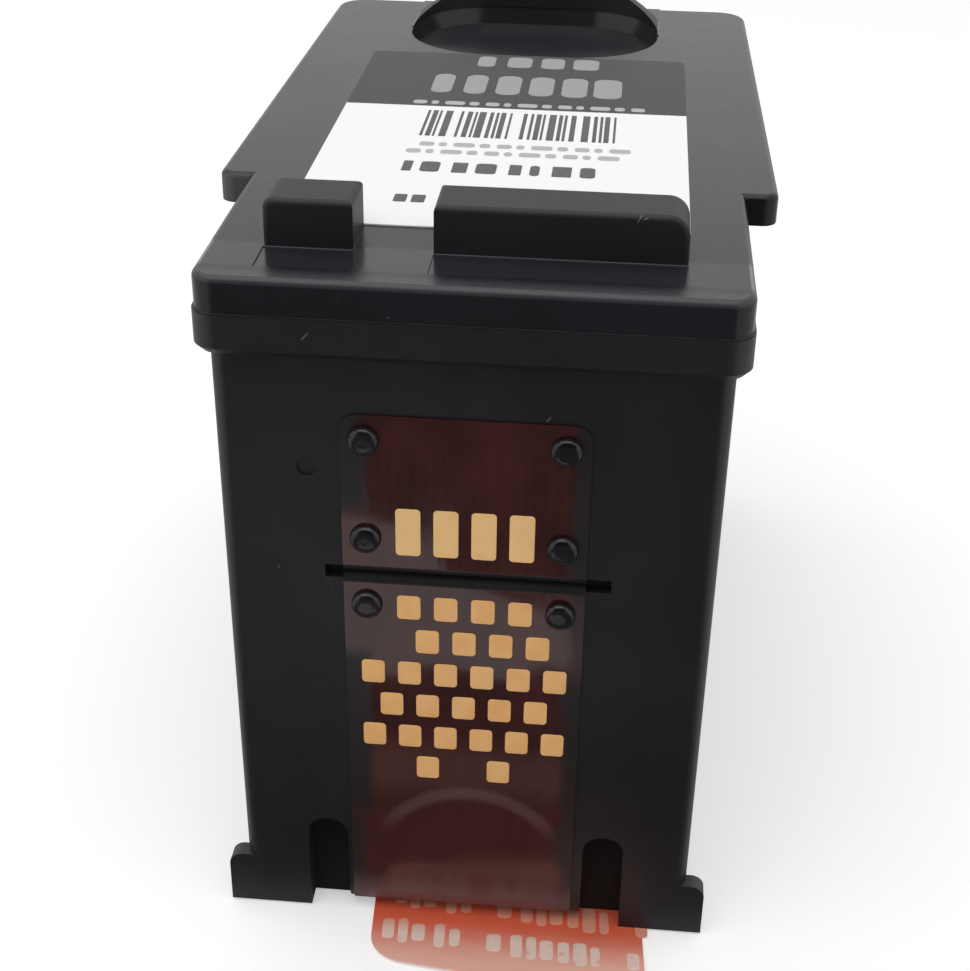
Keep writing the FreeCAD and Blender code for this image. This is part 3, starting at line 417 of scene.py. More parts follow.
def add_piece(name, shape, finish, replaces=(), sharp=35.0):
    """Makes a mesh of a shape in millimetres, smooth up to a sharp angle, that rides on the cartridge."""
    points, faces = shape
    points = (np.asarray(points) + (0.0, FACE, FOOT)) * MM
    mesh = bpy.data.meshes.new(name)
    mesh.from_pydata(points.tolist(), [], faces)
    mesh.validate()
    mesh.shade_smooth()
    mesh.set_sharp_from_angle(angle=math.radians(sharp))
    piece = bpy.data.objects.new(name, mesh)
    bpy.context.scene.collection.objects.link(piece)
    mesh.materials.append(finish.material)
    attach(piece, ROOT)
    if replaces:
        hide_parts(*replaces)


def dress(node, finish):
    """Gives a CAD node its finish."""
    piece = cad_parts[node]
    if not piece.material_slots:
        piece.data.materials.append(finish.material)
    for slot in piece.material_slots:
        slot.material = finish.material


# Finishes, as node trees written in arithmetic.
def arithmetic(operation, turned=False):
    """A method that adds one Math node. Turned, it takes its own level as the last value."""
    def method(self, *others):
        values = (*others, self) if turned else (self, *others)
        return self.finish.node("ShaderNodeMath", {"operation": operation}, dict(enumerate(values)))
    return method


class Level:
    """A node's output. Arithmetic on it adds Math nodes to its finish."""

    def __init__(self, finish, socket):
        self.finish = finish
        self.socket = socket

    __add__ = __radd__ = arithmetic("ADD")
    __sub__ = arithmetic("SUBTRACT")
    __rsub__ = arithmetic("SUBTRACT", turned=True)
    __mul__ = __rmul__ = arithmetic("MULTIPLY")
    __truediv__ = arithmetic("DIVIDE")
    __abs__ = arithmetic("ABSOLUTE")
    larger = arithmetic("MAXIMUM")
    root = arithmetic("SQRT")
    sine = arithmetic("SINE")
    fraction = arithmetic("FRACT")

    def hypotenuse(self, other):
        """The longest side of a right-angled triangle that has the two as its other sides."""
        return (self * self + other * other).root()

    def share(self, low, high):
        """0 at the low value and 1 at the high one, with a soft start and end."""
        return self.finish.node(
            "ShaderNodeMapRange", {"interpolation_type": "SMOOTHSTEP"},
            {"Value": self, "From Min": low, "From Max": high, "To Min": 0.0, "To Max": 1.0})

    def inside(self, low, high, blur):
        """1 between two values and 0 beyond them, over a blur."""
        return self.share(low - blur, low + blur) * (1 - self.share(high - blur, high + blur))


class Finish:
    """The node tree of one material, with its principled shader."""

    def __init__(self, name, **fixed):
        self.material = bpy.data.materials.new(name)
        self.material.use_nodes = True
        self.tree = self.material.node_tree
        self.tree.nodes.clear()
        self.shader = self.tree.nodes.new("ShaderNodeBsdfPrincipled")
        output = self.tree.nodes.new("ShaderNodeOutputMaterial")
        self.tree.links.new(self.shader.outputs[0], output.inputs["Surface"])
        for name_of_socket, value in fixed.items():
            self.shader.inputs[name_of_socket.replace("_", " ")].default_value = value

    def node(self, kind, settings=None, inputs=None, output=0):
        """Adds a node: its settings, then each input's value or link. Returns one of its outputs."""
        added = self.tree.nodes.new(kind)
        for name, value in (settings or {}).items():
            setattr(added, name, value)
        for key, value in (inputs or {}).items():
            if isinstance(value, Level):
                self.tree.links.new(value.socket, added.inputs[key])
            else:
                added.inputs[key].default_value = value
        return Level(self, added.outputs[output])

    def spot(self):
        """The place on the cartridge, in millimetres from the middle, the contact face and the feet."""
        here = self.node("ShaderNodeTexCoord", output="Object")
        moved = self.node("ShaderNodeVectorMath", {"operation": "SUBTRACT"},
                          {0: here, 1: (0.0, FACE * MM, FOOT * MM)})
        return self.node("ShaderNodeVectorMath", {"operation": "SCALE"}, {0: moved, "Scale": 1 / MM})

    def split(self, vector):
        """The three parts of a place."""
        parts = self.node("ShaderNodeSeparateXYZ", inputs={0: vector}).socket.node
        return [Level(self, parts.outputs[number]) for number in range(3)]

    def stretched(self, vector, scale):
        """A place with its three parts multiplied."""
        return self.node("ShaderNodeVectorMath", {"operation": "MULTIPLY"}, {0: vector, 1: scale})

    def noise(self, vector, size, detail=2.0, roughness=0.5):
        """Soft noise from 0 to 1 with spots of a size, in millimetres."""
        return self.node("ShaderNodeTexNoise", inputs={
            "Vector": vector, "Scale": 1 / size, "Detail": detail, "Roughness": roughness})

    def cells(self, vector, size, feature="F1"):
        """Distance from the middle, or the edge, of cells of a size, in shares of it."""
        return self.node("ShaderNodeTexVoronoi", {"feature": feature}, {"Vector": vector, "Scale": 1 / size})

    def blend(self, share, one, other):
        """One colour where the share is 0, and the other where it is 1."""
        values = {0: share}
        for key, value in ((6, one), (7, other)):
            values[key] = value if isinstance(value, Level) else (*value, 1.0)
        return self.node("ShaderNodeMix", {"data_type": "RGBA"}, values, output=2)

    def layered(self, body, *layers):
        """A colour with others laid over it, each given as its share and its colour."""
        for share, tint in layers:
            body = self.blend(share, body, tint)
        return body

    def bump(self, height, depth):
        """Relief of a depth in millimetres, for a height from 0 to 1."""
        settings = {"Strength": 1.0, "Distance": depth * MM, "Height": height}
        return self.node("ShaderNodeBump", inputs=settings)

    def paint(self, **varying):
        """Links what varies over the surface to the shader. Returns the finish."""
        for name, value in varying.items():
            self.tree.links.new(value.socket, self.shader.inputs[name.replace("_", " ")])
        return self


def hairlines(finish, spot):
    """Faint upright rubs in patches: noise drawn out upwards, of which only a narrow ridge counts."""
    drawn = finish.noise(finish.stretched(spot, (1.0, 1.0, RUB_DRAW)), RUB_SPACING, detail=0.0)
    ridge = 1 - abs(drawn - 0.5).share(0.0, RUB_WIDTH)
    return ridge * finish.noise(spot, RUB_PATCH, detail=0.0).share(0.66, 0.72)


def nicks(finish, spot, places):
    """Short straight nicks on the front, each 1 along its own line and 0 off it."""
    x, y, z = finish.split(spot)
    marks = None
    for across, up, half, lean in places:
        way = (math.cos(math.radians(lean)), math.sin(math.radians(lean)))
        along = (x - across) * way[0] + (z - up) * way[1]
        aside = (z - up) * way[0] - (x - across) * way[1]
        mark = (1 - abs(along).share(half * 0.7, half)) * (1 - abs(aside).share(*NICK_WIDTH))
        marks = mark if marks is None else marks.larger(mark)
    return marks * (1 - y.share(*NICK_DEPTH))


def plastic(name, settings, roughness, places, polished=None, dark=None, index=PLASTIC_INDEX):
    """Black moulded plastic: moulded grain, faint clouds, a few nicks and rubs.

    Where the polished mask is 1, the grain is gone and the surface has the roughness given with it, and a
    share of painted light makes the colour paler, as painted reflections and highlights.
    Where the dark mask is 1, the plastic is painted darker and duller: painted shade.
    """
    finish = Finish(name, IOR=index)
    spot = finish.spot()
    clouds = finish.noise(spot, CLOUD_SIZE, detail=3.0)
    grain = finish.noise(spot, settings.grain / MM, detail=2.0, roughness=0.6)
    rubs = hairlines(finish, spot)
    specks = 1 - finish.cells(spot, SPECK_PITCH).share(0.008, 0.016)
    lighter = tuple(part * 1.35 + 0.001 for part in settings.colour)
    body = finish.blend(clouds.share(0.3, 0.7), settings.colour, lighter)
    body = finish.layered(body, (rubs * 0.1, RUB_SHADE), (specks * 0.35, SPECK_SHADE),
                          (nicks(finish, spot, places) * 0.42, NICK_AND_PAINTED_LIGHT_SHADE))
    rough = roughness + (grain - 0.5) * 0.12 + (clouds - 0.5) * 0.08 + rubs * 0.06
    relief = grain
    if polished is not None:
        # Painted light: paler colour for painted reflections and highlights.
        mask, smoothness, light_paint = polished(finish, spot)
        body = finish.blend(light_paint, body, NICK_AND_PAINTED_LIGHT_SHADE)
        rough = rough * (1 - mask) + smoothness * mask
        relief = relief * (1 - mask * 0.85)
    if dark is not None:
        # Painted shade: a darker copy of the plastic where the dark mask is 1.
        mask = dark(finish, spot)
        body = finish.blend(mask, body, scaled(settings.colour, 0.3))
        rough = rough + mask * 0.4
    return finish.paint(Base_Color=body, Roughness=rough, Normal=finish.bump(relief, GRAIN_RELIEF))


def notch_painted_shade(finish, spot):
    """Painted shade: 1 inside each notch beside the nose, where the plastic is painted darker."""
    x, y, z = finish.split(spot)
    beside = abs(x).inside(NOTCH_INNER - 0.1, NOTCH_OUTER + 0.1, 0.05)
    return beside * y.inside(0.3, NOTCH_DEPTH + 0.3, 0.1) * (1 - z.share(NOTCH_TOP, NOTCH_TOP + 0.3))


def lid_polish_and_painted_light(finish, spot):
    """Where the lid is off its texture, the roughness there, and where light is painted into its colour.

    Off the texture are the strip before the ribs, the front edge, the ribs and the dish. The painted light
    makes them paler as painted reflections and highlights, and so the sunk walls and the left grip's front.
    """
    x, y, z = finish.split(spot)
    up = z - LID_TOP
    ribs = up.share(0.05, 0.15)
    strip = y.inside(STRIP_START, RIB_START + 0.6, STRIP_BLUR)
    walls = strip * up.inside(0.01 - PAD_DEPTH, -0.01, 0.004)
    front = (1 - up.share(-0.3, -0.2)) * (1 - y.share(0.2, 0.4))
    edge = up.inside(-0.4, 0.2, 0.1) * (1 - y.share(-0.6, 1.2))
    dish = y.inside(DISH_FRONT, DISH_REAR, 0.1) * x.inside(-DISH_HALF, DISH_HALF, 0.1)
    dish = dish * (1 - up.share(-0.12, -0.06))
    grip = y.inside(GRIP_START - 0.2, GRIP_START + 0.4, 0.1) * (1 - up.share(-0.3, 0.0))
    left_grip = grip * (1 - x.share(-LID_HALF - 0.1, -LID_HALF))
    # Painted light: the colour is made paler on these parts as painted reflections and highlights.
    light_paint = (strip * LIGHT_PAINT_SHARES["strip"] + front * LIGHT_PAINT_SHARES["front"]).larger(edge * LIGHT_PAINT_SHARES["edge"])
    light_paint = light_paint.larger(dish * LIGHT_PAINT_SHARES["dish"]) * (1 - ribs) + ribs * LIGHT_PAINT_SHARES["ribs"]
    light_paint = light_paint.larger(walls * LIGHT_PAINT_SHARES["walls"]).larger(left_grip * LIGHT_PAINT_SHARES["grip"])
    smoothness = ribs * (RIB_ROUGHNESS - FRONT_ROUGHNESS) + FRONT_ROUGHNESS
    return strip.larger(front).larger(dish * 0.8).larger(ribs), smoothness, light_paint


def film_traces(finish, spot):
    """Buried upright traces that waver a little, each 1 in its middle."""
    x, y, z = finish.split(spot)
    waver = finish.noise(finish.stretched(spot, (1.0, 1.0, 0.35)), 4.0, detail=0.0) - 0.5
    turns = (x + waver * TRACE_WAVER) / TRACE_PITCH
    stripe = abs(turns.fraction() - 0.5)
    return (1 - stripe.share(0.15, 0.35)) * z.inside(*TRACE_HEIGHTS, 1.5)


def film_borders(x, z, drift):
    """How dark the film is along its left and right side, and low beside the nose, where the dark is painted
    shade.
    """
    left = (1 - (x + drift).share(*DARK_LEFT)) * (z + drift).share(*DARK_LEFT_FOOT)
    left = left * (1 - z.inside(*CLEAR_LEFT, 1.0))
    right = (x + drift).share(*DARK_RIGHT) * (1 - z.inside(*CLEAR_RIGHT, 1.0) * 0.6)
    low = (abs(x) + drift * 0.5).share(*DARK_LOW) * (1 - (z + drift).share(*DARK_LOW_BELOW))
    return left.larger(right).larger(low)


def film_finish(settings):
    """Glossy amber film over black plastic: clouds, dark borders, faint traces, a pale band on the arch,
    painted shade in the fold and low beside the nose, and painted reflection where it bends round the nose.
    """
    finish = Finish("film_circuit", IOR=1.6)
    spot = finish.spot()
    x, y, z = finish.split(spot)
    clouds = finish.noise(spot, 6.0, detail=3.0)
    drift = (finish.noise(spot, 3.2, detail=2.0) - 0.5) * 1.6
    trace, borders = film_traces(finish, spot), film_borders(x, z, drift)
    radius = settings.swell_radius / MM
    away = (x - ARCH_ACROSS).hypotenuse(z - settings.swell_height / MM) + drift * 0.15
    arch = away.inside(radius - ARCH_IN, radius + ARCH_OUT, 0.3) * z.share(*ARCH_ABOVE)
    # Painted shade: the film in the fold of the groove is painted nearly black.
    fold = z.inside(GROOVE_BOTTOM - 0.2, GROOVE_BOTTOM + GROOVE_HEIGHT + 0.08, 0.1)
    # Painted reflection: the film turning round the nose is painted paler.
    bend = (1 - (z + drift * 0.3).share(*BEND_BELOW)) * (1 - y.share(*BEND_BEFORE))
    haze = 1 - z.share(*HAZE_BELOW)
    red, green, blue = settings.colour
    body = finish.blend(clouds.share(0.32, 0.68), settings.colour, scaled(settings.colour, 0.55))
    body = finish.layered(
        body,
        (trace * 0.12, settings.trace),
        ((1 - (z + drift).share(*RED_BELOW)) * 0.6, (red * 1.25, green * 1.05, blue * 1.05)),
        ((z + drift).inside(*PALE_HEIGHTS, 1.5) * 0.35, PALE_FILM),
        # Painted shade low beside the nose, with the dark borders.
        (borders * 0.9, BORDER_AND_PAINTED_SHADE),
        (arch * 0.38, settings.bend),
        (fold, FOLD_PAINTED_SHADE),
        (bend * 0.7, settings.bend),
    )
    rough = settings.roughness + clouds * 0.04 + haze * 0.12 + bend * 0.12 + borders * 0.3 + fold * 0.9
    relief = trace * 0.3 + finish.noise(spot, 1.4) * 0.7
    return finish.paint(Base_Color=body, Roughness=rough, Normal=finish.bump(relief, 0.002))


def gold_finish(settings):
    """Brushed gold plating with faint warm stains, brighter on the row of tall contacts."""
    finish = Finish("contact_gold", Metallic=0.2)
    spot = finish.spot()
    clouds = finish.noise(spot, 1.6, detail=3.0)
    brushed = finish.noise(finish.stretched(spot, (1.0, 1.0, 6.0)), 0.35)
    red, green, blue = settings.colour
    body = finish.blend(clouds.share(0.35, 0.75), settings.colour, (red * 0.97, green * 0.86, blue * 0.78))
    body = finish.blend(finish.split(spot)[2].share(*TALL_ABOVE) * 0.6, body, BRIGHT_GOLD)
    return finish.paint(Base_Color=body, Roughness=0.42 + brushed * 0.12, Normal=finish.bump(brushed, 0.004))


def label_finish(settings):
    """Printed label: a white field in front of a dark one, on paper fibre."""
    finish = Finish("label_print", IOR=1.36)
    spot = finish.spot()
    fibre = finish.noise(spot, 0.35, detail=3.0)
    clouds = finish.noise(spot, 7.0)
    white = finish.blend(fibre * 0.25, settings.white, PAPER_FIBRE)
    dark = finish.blend(clouds.share(0.3, 0.7), settings.dark, scaled(settings.dark, 0.85))
    border = settings.split / MM
    behind = (finish.split(spot)[1] + (fibre - 0.5) * 0.12).share(border - 0.06, border + 0.06)
    body = finish.blend(behind, white, dark)
    return finish.paint(Base_Color=body, Roughness=0.36 + fibre * 0.12, Normal=finish.bump(fibre, 0.006))


def ink_finish(name, tint):
    """Print ink, a little uneven where it took on the paper."""
    finish = Finish(name, IOR=1.45)
    patchy = finish.noise(finish.spot(), 0.5, detail=3.0)
    thin = tuple(part * (1 - INK_FADE) + 0.4 * INK_FADE for part in tint)
    body = finish.blend(patchy.share(0.35, 0.8), tint, thin)
    return finish.paint(Base_Color=body, Roughness=0.45 + patchy * 0.1)


def tape_finish(settings):
    """Thin coloured plastic tape with fine creases: deep near the nose and paler towards its free end, as
    painted shade and painted light.
    """
    finish = Finish("tape_film", IOR=1.5)
    spot = finish.spot()
    creases = finish.noise(finish.stretched(spot, (0.35, 1.0, 1.0)), 1.2, detail=3.0)
    # Painted light and shade: paler towards the free end, deeper near the nose.
    pale = 1 - (finish.split(spot)[1] + (creases - 0.5) * 1.5).share(*TAPE_FADE)
    body = finish.blend(pale * 0.9 + creases * 0.08, settings.colour, TAPE_PAINTED_LIGHT)
    return finish.paint(Base_Color=body, Roughness=0.34 + creases * 0.12, Normal=finish.bump(creases, 0.02))


def tape_ink_finish(settings):
    """Thin pale ink on the tape, fainter near the nose."""
    finish = Finish("tape_ink", IOR=1.45)
    spot = finish.spot()
    patchy = finish.noise(spot, 0.9, detail=2.0)
    thin = finish.split(spot)[1].share(*THIN_INK_FROM).larger(patchy.share(0.55, 0.8) * 0.6)
    body = finish.blend(thin * 0.8, settings.mark, THIN_INK)
    return finish.paint(Base_Color=body, Roughness=0.42 + patchy * 0.1)


def foam_finish(settings):
    """Open foam: small dark pores between pale struts."""
    finish = Finish("ink_foam")
    pores = finish.cells(finish.spot(), 0.55, feature="DISTANCE_TO_EDGE").share(0.02, 0.2)
    body = finish.blend(pores, settings.foam, scaled(settings.foam, 0.3))
    return finish.paint(Base_Color=body, Roughness=0.85 + pores * 0.1, Normal=finish.bump(1 - pores, 0.2))


def screen_finish(settings):
    """Woven steel screen: wires crossing at a fine pitch."""
    finish = Finish("filter_weave", Metallic=0.9)
    x, y, z = finish.split(finish.spot())
    wires = (x * WIRE_WAVE).sine().larger((y * WIRE_WAVE).sine()).share(-0.4, 0.9)
    body = finish.blend(wires, scaled(settings.steel, 0.12), settings.steel)
    return finish.paint(Base_Color=body, Roughness=0.5 - wires * 0.15, Normal=finish.bump(wires, 0.03))


def chip_finish(settings):
    """Dark polished silicon with two rows of fine nozzles beside the ink slot."""
    finish = Finish("print_chip", Metallic=0.4)
    x, y, z = finish.split(finish.spot())
    rows = 1 - abs(abs(x) - NOZZLE_ROW).share(0.03, 0.09)
    nozzles = rows * (y * NOZZLE_WAVE).sine().share(0.2, 0.7)
    body = finish.blend(nozzles, settings.silicon, NOZZLE_SHADE)
    relief = finish.bump(1 - nozzles, 0.01)
    return finish.paint(Base_Color=body, Roughness=0.16 + nozzles * 0.4, Normal=relief)


def resin_finish(settings):
    """Cured sealant: uneven and satin."""
    finish = Finish("sealant_resin", IOR=1.5)
    lumps = finish.noise(finish.spot(), 0.9, detail=3.0)
    body = finish.blend(lumps, settings.resin, scaled(settings.resin, 1.8))
    return finish.paint(Base_Color=body, Roughness=0.3 + lumps * 0.2, Normal=finish.bump(lumps, 0.08))


# The forms of the pieces.
def film_swell(x, z, settings):
    """How far the film stands off the face: a low arch above the nose, and ripples of two waves.

    The arch rises by the swell where the distance from its centre falls through its radius, and
    sinks again to nothing where the film turns round the nose.
    """
    away = np.hypot(x - ARCH_ACROSS, z - settings.swell_height / MM)
    reach = settings.swell_radius / MM + ARCH_BLUR
    arch = smooth((reach - away) / (2 * ARCH_BLUR)) * smooth((z - ARCH_FOOT) / ARCH_RISE)
    sides = smooth((FILM_LEFT - np.abs(x)) / ARCH_SIDES)
    one, other = [np.sin(x * across + z * up + shift) for across, up, shift in RIPPLE_WAVES]
    on_face = smooth((z - RIPPLE_FOOT) / RIPPLE_RISE) * smooth((FILM_TOP - z) / RIPPLE_FALL)
    return settings.swell / MM * arch * sides + settings.ripple / MM * (1 + one * other) * on_face


def film_shape(settings):
    """The film: its section carried across, with round upper corners and a window for the chip.

    Down the rows the section falls along the face, folds into the groove, turns round the nose and
    runs back under it. The corner at the top draws the sides in by r - sqrt(r^2 - (r - t)^2).
    """
    groove_top = GROOVE_BOTTOM + GROOVE_HEIGHT - FILM_THICKNESS
    groove_low = GROOVE_BOTTOM + FILM_THICKNESS
    path = rounded_path([
        (0.0, FILM_TOP, 0.0), (0.0, groove_top, FOLD_OUTER),
        (CREASE_DEPTH, groove_top - CREASE_LEAN, FOLD_INNER),
        (CREASE_DEPTH, groove_low + CREASE_LEAN, FOLD_INNER), (0.0, groove_low, FOLD_OUTER),
        (0.0, FILM_THICKNESS, NOSE_EDGE), (FILM_TAIL, FILM_THICKNESS, 0.0),
    ])
    run = np.concatenate([[0.0], np.cumsum(np.linalg.norm(np.diff(path, axis=0), axis=1))])
    fold = (FILM_TOP - groove_top - 0.5, FILM_TOP - groove_low + 2 * CREASE_DEPTH + 0.5)
    nose = run[-1] - (FILM_TAIL - NOSE_EDGE)
    window = [run[-1] - (FILM_TAIL - edge) for edge in (
        SEALANT_LOW[1] - FACE - WINDOW_MARGIN, SEALANT_HIGH[1] - FACE + WINDOW_MARGIN)]
    stations = np.unique(np.concatenate([
        np.linspace(0.0, TOP_ROWS_END, 14), np.arange(TOP_ROWS_END, run[-1], FILM_STEP),
        np.arange(*fold, FOLD_STEP), np.arange(nose - 3.4, nose + 0.2, NOSE_STEP), window, [run[-1]]]))
    y, z = np.interp(stations, run, path[:, 0]), np.interp(stations, run, path[:, 1])
    dense = np.linspace(0.0, run[-1], 6000)
    slope_y = np.gradient(np.interp(dense, run, path[:, 0]), dense)
    slope_z = np.gradient(np.interp(dense, run, path[:, 1]), dense)
    out_y, out_z = np.interp(stations, dense, slope_z), -np.interp(stations, dense, slope_y)

    window_side = SEALANT_HIGH[0] + WINDOW_MARGIN
    steps = np.unique(np.concatenate([np.linspace(-1.0, 1.0, 57), [-0.99, -0.97, 0.97, 0.99]]))
    middle, half = (FILM_RIGHT - FILM_LEFT) / 2, (FILM_RIGHT + FILM_LEFT) / 2
    fallen = np.clip(FILM_CORNER - stations, 0.0, FILM_CORNER)
    drawn_in = FILM_CORNER - np.sqrt(FILM_CORNER ** 2 - fallen ** 2)
    lines = np.sort(np.append(steps, [(-window_side - middle) / half, (window_side - middle) / half]))
    x = middle + lines[None, :] * (half - drawn_in[:, None])
    up = np.broadcast_to(z[:, None], x.shape)
    lift = film_swell(x, up, settings) * (np.abs(y[:, None]) < CREASE_DEPTH / 2)
    front = np.stack([x, y[:, None] + out_y[:, None] * (FILM_THICKNESS + lift),
                      z[:, None] + out_z[:, None] * (FILM_THICKNESS + lift)], -1)
    back = np.stack([x, y[:, None] + out_y[:, None] * lift, z[:, None] + out_z[:, None] * lift], -1)
    inside_rows = (stations[:-1] >= window[0] - 1e-6) & (stations[1:] <= window[1] + 1e-6)
    reach = np.abs(middle + lines * half)
    inside_lines = (reach[:-1] <= window_side + 1e-6) & (reach[1:] <= window_side + 1e-6)
    return sheet_shell(front, back, ~(inside_rows[:, None] & inside_lines[None, :]))


def contact_shapes(settings, film):
    """The contacts in their staggered rows, each plate set on the film where that is."""
    rows = [(TALL_CONTACTS, TALL_CONTACT_ROW, settings.tall_width / MM, settings.tall_height / MM)]
    for number, columns in enumerate(SMALL_CONTACTS):
        height = FIRST_CONTACT_ROW - number * CONTACT_ROW_PITCH
        rows.append((columns, height, settings.width / MM, settings.height / MM))
    shapes = []
    for columns, height, wide, tall in rows:
        for column in columns:
            across = CONTACT_MIDDLE + column * CONTACT_PITCH / 2
            points, faces = plate(across, height, wide, tall, settings.corner / MM,
                                  settings.thickness / MM, settings.bevel / MM, crown=0.012)
            lift = FILM_THICKNESS + film_swell(across, height, film) + points[:, 2]
            shapes.append((np.stack([points[:, 0], -lift, points[:, 1]], 1), faces))
    return joined(shapes)


def stake_shapes(settings):
    """The flattened heads of the heat stakes: a turned profile, a little out of round."""
    turn = np.linspace(0.0, 2 * math.pi, 48, endpoint=False)
    radii = np.array([0.93, 0.985, 1.0, 0.995, 0.965, 0.9, 0.8, 0.65, 0.45, 0.22]) * settings.radius / MM
    heights = np.array([0.0, 0.06, 0.2, 0.38, 0.56, 0.73, 0.86, 0.95, 0.99, 1.0]) * settings.height / MM
    shapes = []
    for row, height in enumerate(STAKE_ROWS):
        for side in (-1, 1):
            phase = 1.7 * row + 0.9 * side
            wobble = 1 + 0.018 * np.sin(2 * turn + phase) + 0.01 * np.sin(3 * turn - phase)
            radius = radii[:, None] * wobble[None, :]
            tilt = 0.035 * radius * np.cos(turn + phase) * (heights / heights[-1])[:, None]
            across = STAKE_MIDDLE + side * STAKE_SPAN / 2
            rings = np.stack([
                across + radius * np.cos(turn), -(FILM_THICKNESS + heights[:, None] + tilt),
                height + radius * np.sin(turn)], -1)
            foot, crown = [np.array([across, -(FILM_THICKNESS + lift), height])
                           for lift in (0.0, heights[-1] - 0.02)]
            shapes.append(capped_rings(rings, foot, crown))
    return joined(shapes)


def seam_shape(lift, bead):
    """The weld line between lid and tank: a thin uneven bead carried round the lid's foot.

    Its section is a circle whose radius swings with the way round, by a sum of sines.
    """
    outline = rounded_outline(2 * LID_HALF, LID_REAR - LID_FRONT, LID_CORNER, steps=10)
    closed = np.vstack([outline, outline[:1]])
    run = np.concatenate([[0.0], np.cumsum(np.linalg.norm(np.diff(closed, axis=0), axis=1))])
    along = np.linspace(0.0, run[-1], 900, endpoint=False)
    centre = np.stack([np.interp(along, run, closed[:, 0]), np.interp(along, run, closed[:, 1])], 1)
    way = np.roll(centre, -1, axis=0) - np.roll(centre, 1, axis=0)
    way /= np.linalg.norm(way, axis=1)[:, None]
    out = np.stack([way[:, 1], -way[:, 0]], 1)
    phase = 2 * math.pi * along / run[-1]
    uneven = sum(share * np.sin(waves * phase + shift) for share, waves, shift in SEAM_WAVES)
    radius = bead * (1 + SEAM_SWING * uneven)
    section = np.linspace(0.0, 2 * math.pi, 8, endpoint=False)
    side, rise = np.cos(section), np.sin(section)
    x = centre[:, None, 0] + out[:, None, 0] * radius[:, None] * side
    y = (LID_FRONT + LID_REAR) / 2 + centre[:, None, 1] + out[:, None, 1] * radius[:, None] * side
    z = lift + radius[:, None] * rise + np.zeros_like(x)
    number = np.arange(x.size).reshape(x.shape)
    ahead, around = np.roll(number, -1, axis=0), np.roll(number, -1, axis=1)
    across = np.roll(ahead, -1, axis=1)
    faces = np.stack([number, ahead, across, around], -1).reshape(-1, 4)
    return np.stack([x, y, z], -1).reshape(-1, 3), faces.tolist()


def tape_at(points, settings):
    """Carries flat points (across, back from the face along the tape, up) onto the tape.

    Before the flat stretch the tape rolls up about a level axis, so a point at a distance d along it
    stands at the angle d / curl, and the left corner lifts by the wave.
    """
    across, back, up = points[..., 0], points[..., 1], points[..., 2]
    rolled = np.clip(-TAPE_FLAT - back, 0.0, None) / TAPE_CURL
    corner = smooth(-across / TAPE_WIDTH) * smooth((-back - TAPE_FLAT) / TAPE_REACH)
    radius = TAPE_CURL - up - settings.wave / MM * corner
    y = np.where(rolled > 0, -TAPE_FLAT - radius * np.sin(rolled), back)
    z = TAPE_CURL - radius * np.cos(rolled)
    turned_x = across * math.cos(TAPE_SKEW) - y * math.sin(TAPE_SKEW) + TAPE_OFFSET
    turned_y = across * math.sin(TAPE_SKEW) + y * math.cos(TAPE_SKEW)
    return np.stack([turned_x, turned_y, z - TAPE_THICKNESS], -1)


def tape_end(across):
    """How far back the free end lies, seen from above: a slanted line with an arc at each side.

    The line is y = (half width - x) tan(slant) - reach. An arc of radius r about (m, n), where n is
    above the line by r / cos(slant), is y = n - sqrt(r^2 - (x - m)^2).
    """
    half, slope = TAPE_WIDTH / 2, math.tan(TAPE_SLANT)
    end = (half - across) * slope - TAPE_REACH
    for side in (-1, 1):
        middle = side * (half - TAPE_ROUND)
        centre = (half - middle) * slope - TAPE_REACH + TAPE_ROUND / math.cos(TAPE_SLANT)
        beyond = side * (across - (middle - TAPE_ROUND * math.sin(TAPE_SLANT))) > 0
        arc = centre - np.sqrt(np.clip(TAPE_ROUND ** 2 - (across - middle) ** 2, 0.0, None))
        end = np.where(beyond, arc, end)
    return end


def tape_shape(settings):
    """The tape: lines along it from the free end's edge to its tail, carried onto its roll."""
    turn = np.linspace(0.0, math.pi / 2, 16)
    rim = TAPE_WIDTH / 2 - TAPE_ROUND * 1.2 * (1 - np.sin(turn))
    across = np.unique(np.concatenate([rim, -rim, np.linspace(-rim[0], rim[0], 60)]))
    end = tape_end(across)
    end = np.where(end < -TAPE_FLAT, -TAPE_FLAT - TAPE_CURL * np.arcsin((-end - TAPE_FLAT) / TAPE_CURL), end)
    share = np.concatenate([np.linspace(0.0, 1.0, 40), np.linspace(1.0, 2.0, 41)[1:]])[:, None]
    back = np.where(share < 1, end + (TAPE_STRAIGHT - end) * share,
                    TAPE_STRAIGHT + (TAPE_TAIL - TAPE_STRAIGHT) * (share - 1))
    wide = np.broadcast_to(across, back.shape)
    under, over = [tape_at(np.stack([wide, back, np.full(back.shape, lift)], -1), settings)
                   for lift in (0.0, TAPE_THICKNESS)]
    return sheet_shell(under, over)


def row_of(start, widths, gaps, count):
    """The middle and the width of each mark in a row, where widths and gaps come round again."""
    row, across = [], start
    for number in range(count):
        wide = widths[number % len(widths)]
        row.append((across + wide / 2, wide))
        across += wide + gaps[number % len(gaps)]
    return row


def ink_mark(across, along, wide, tall, corner, steps):
    """One flat mark of ink, lying at height 0."""
    points, faces = plate(across, along, wide, tall, corner, INK_THICKNESS, INK_BEVEL, steps=steps)
    return points - (0.0, 0.0, INK_SUNK), faces


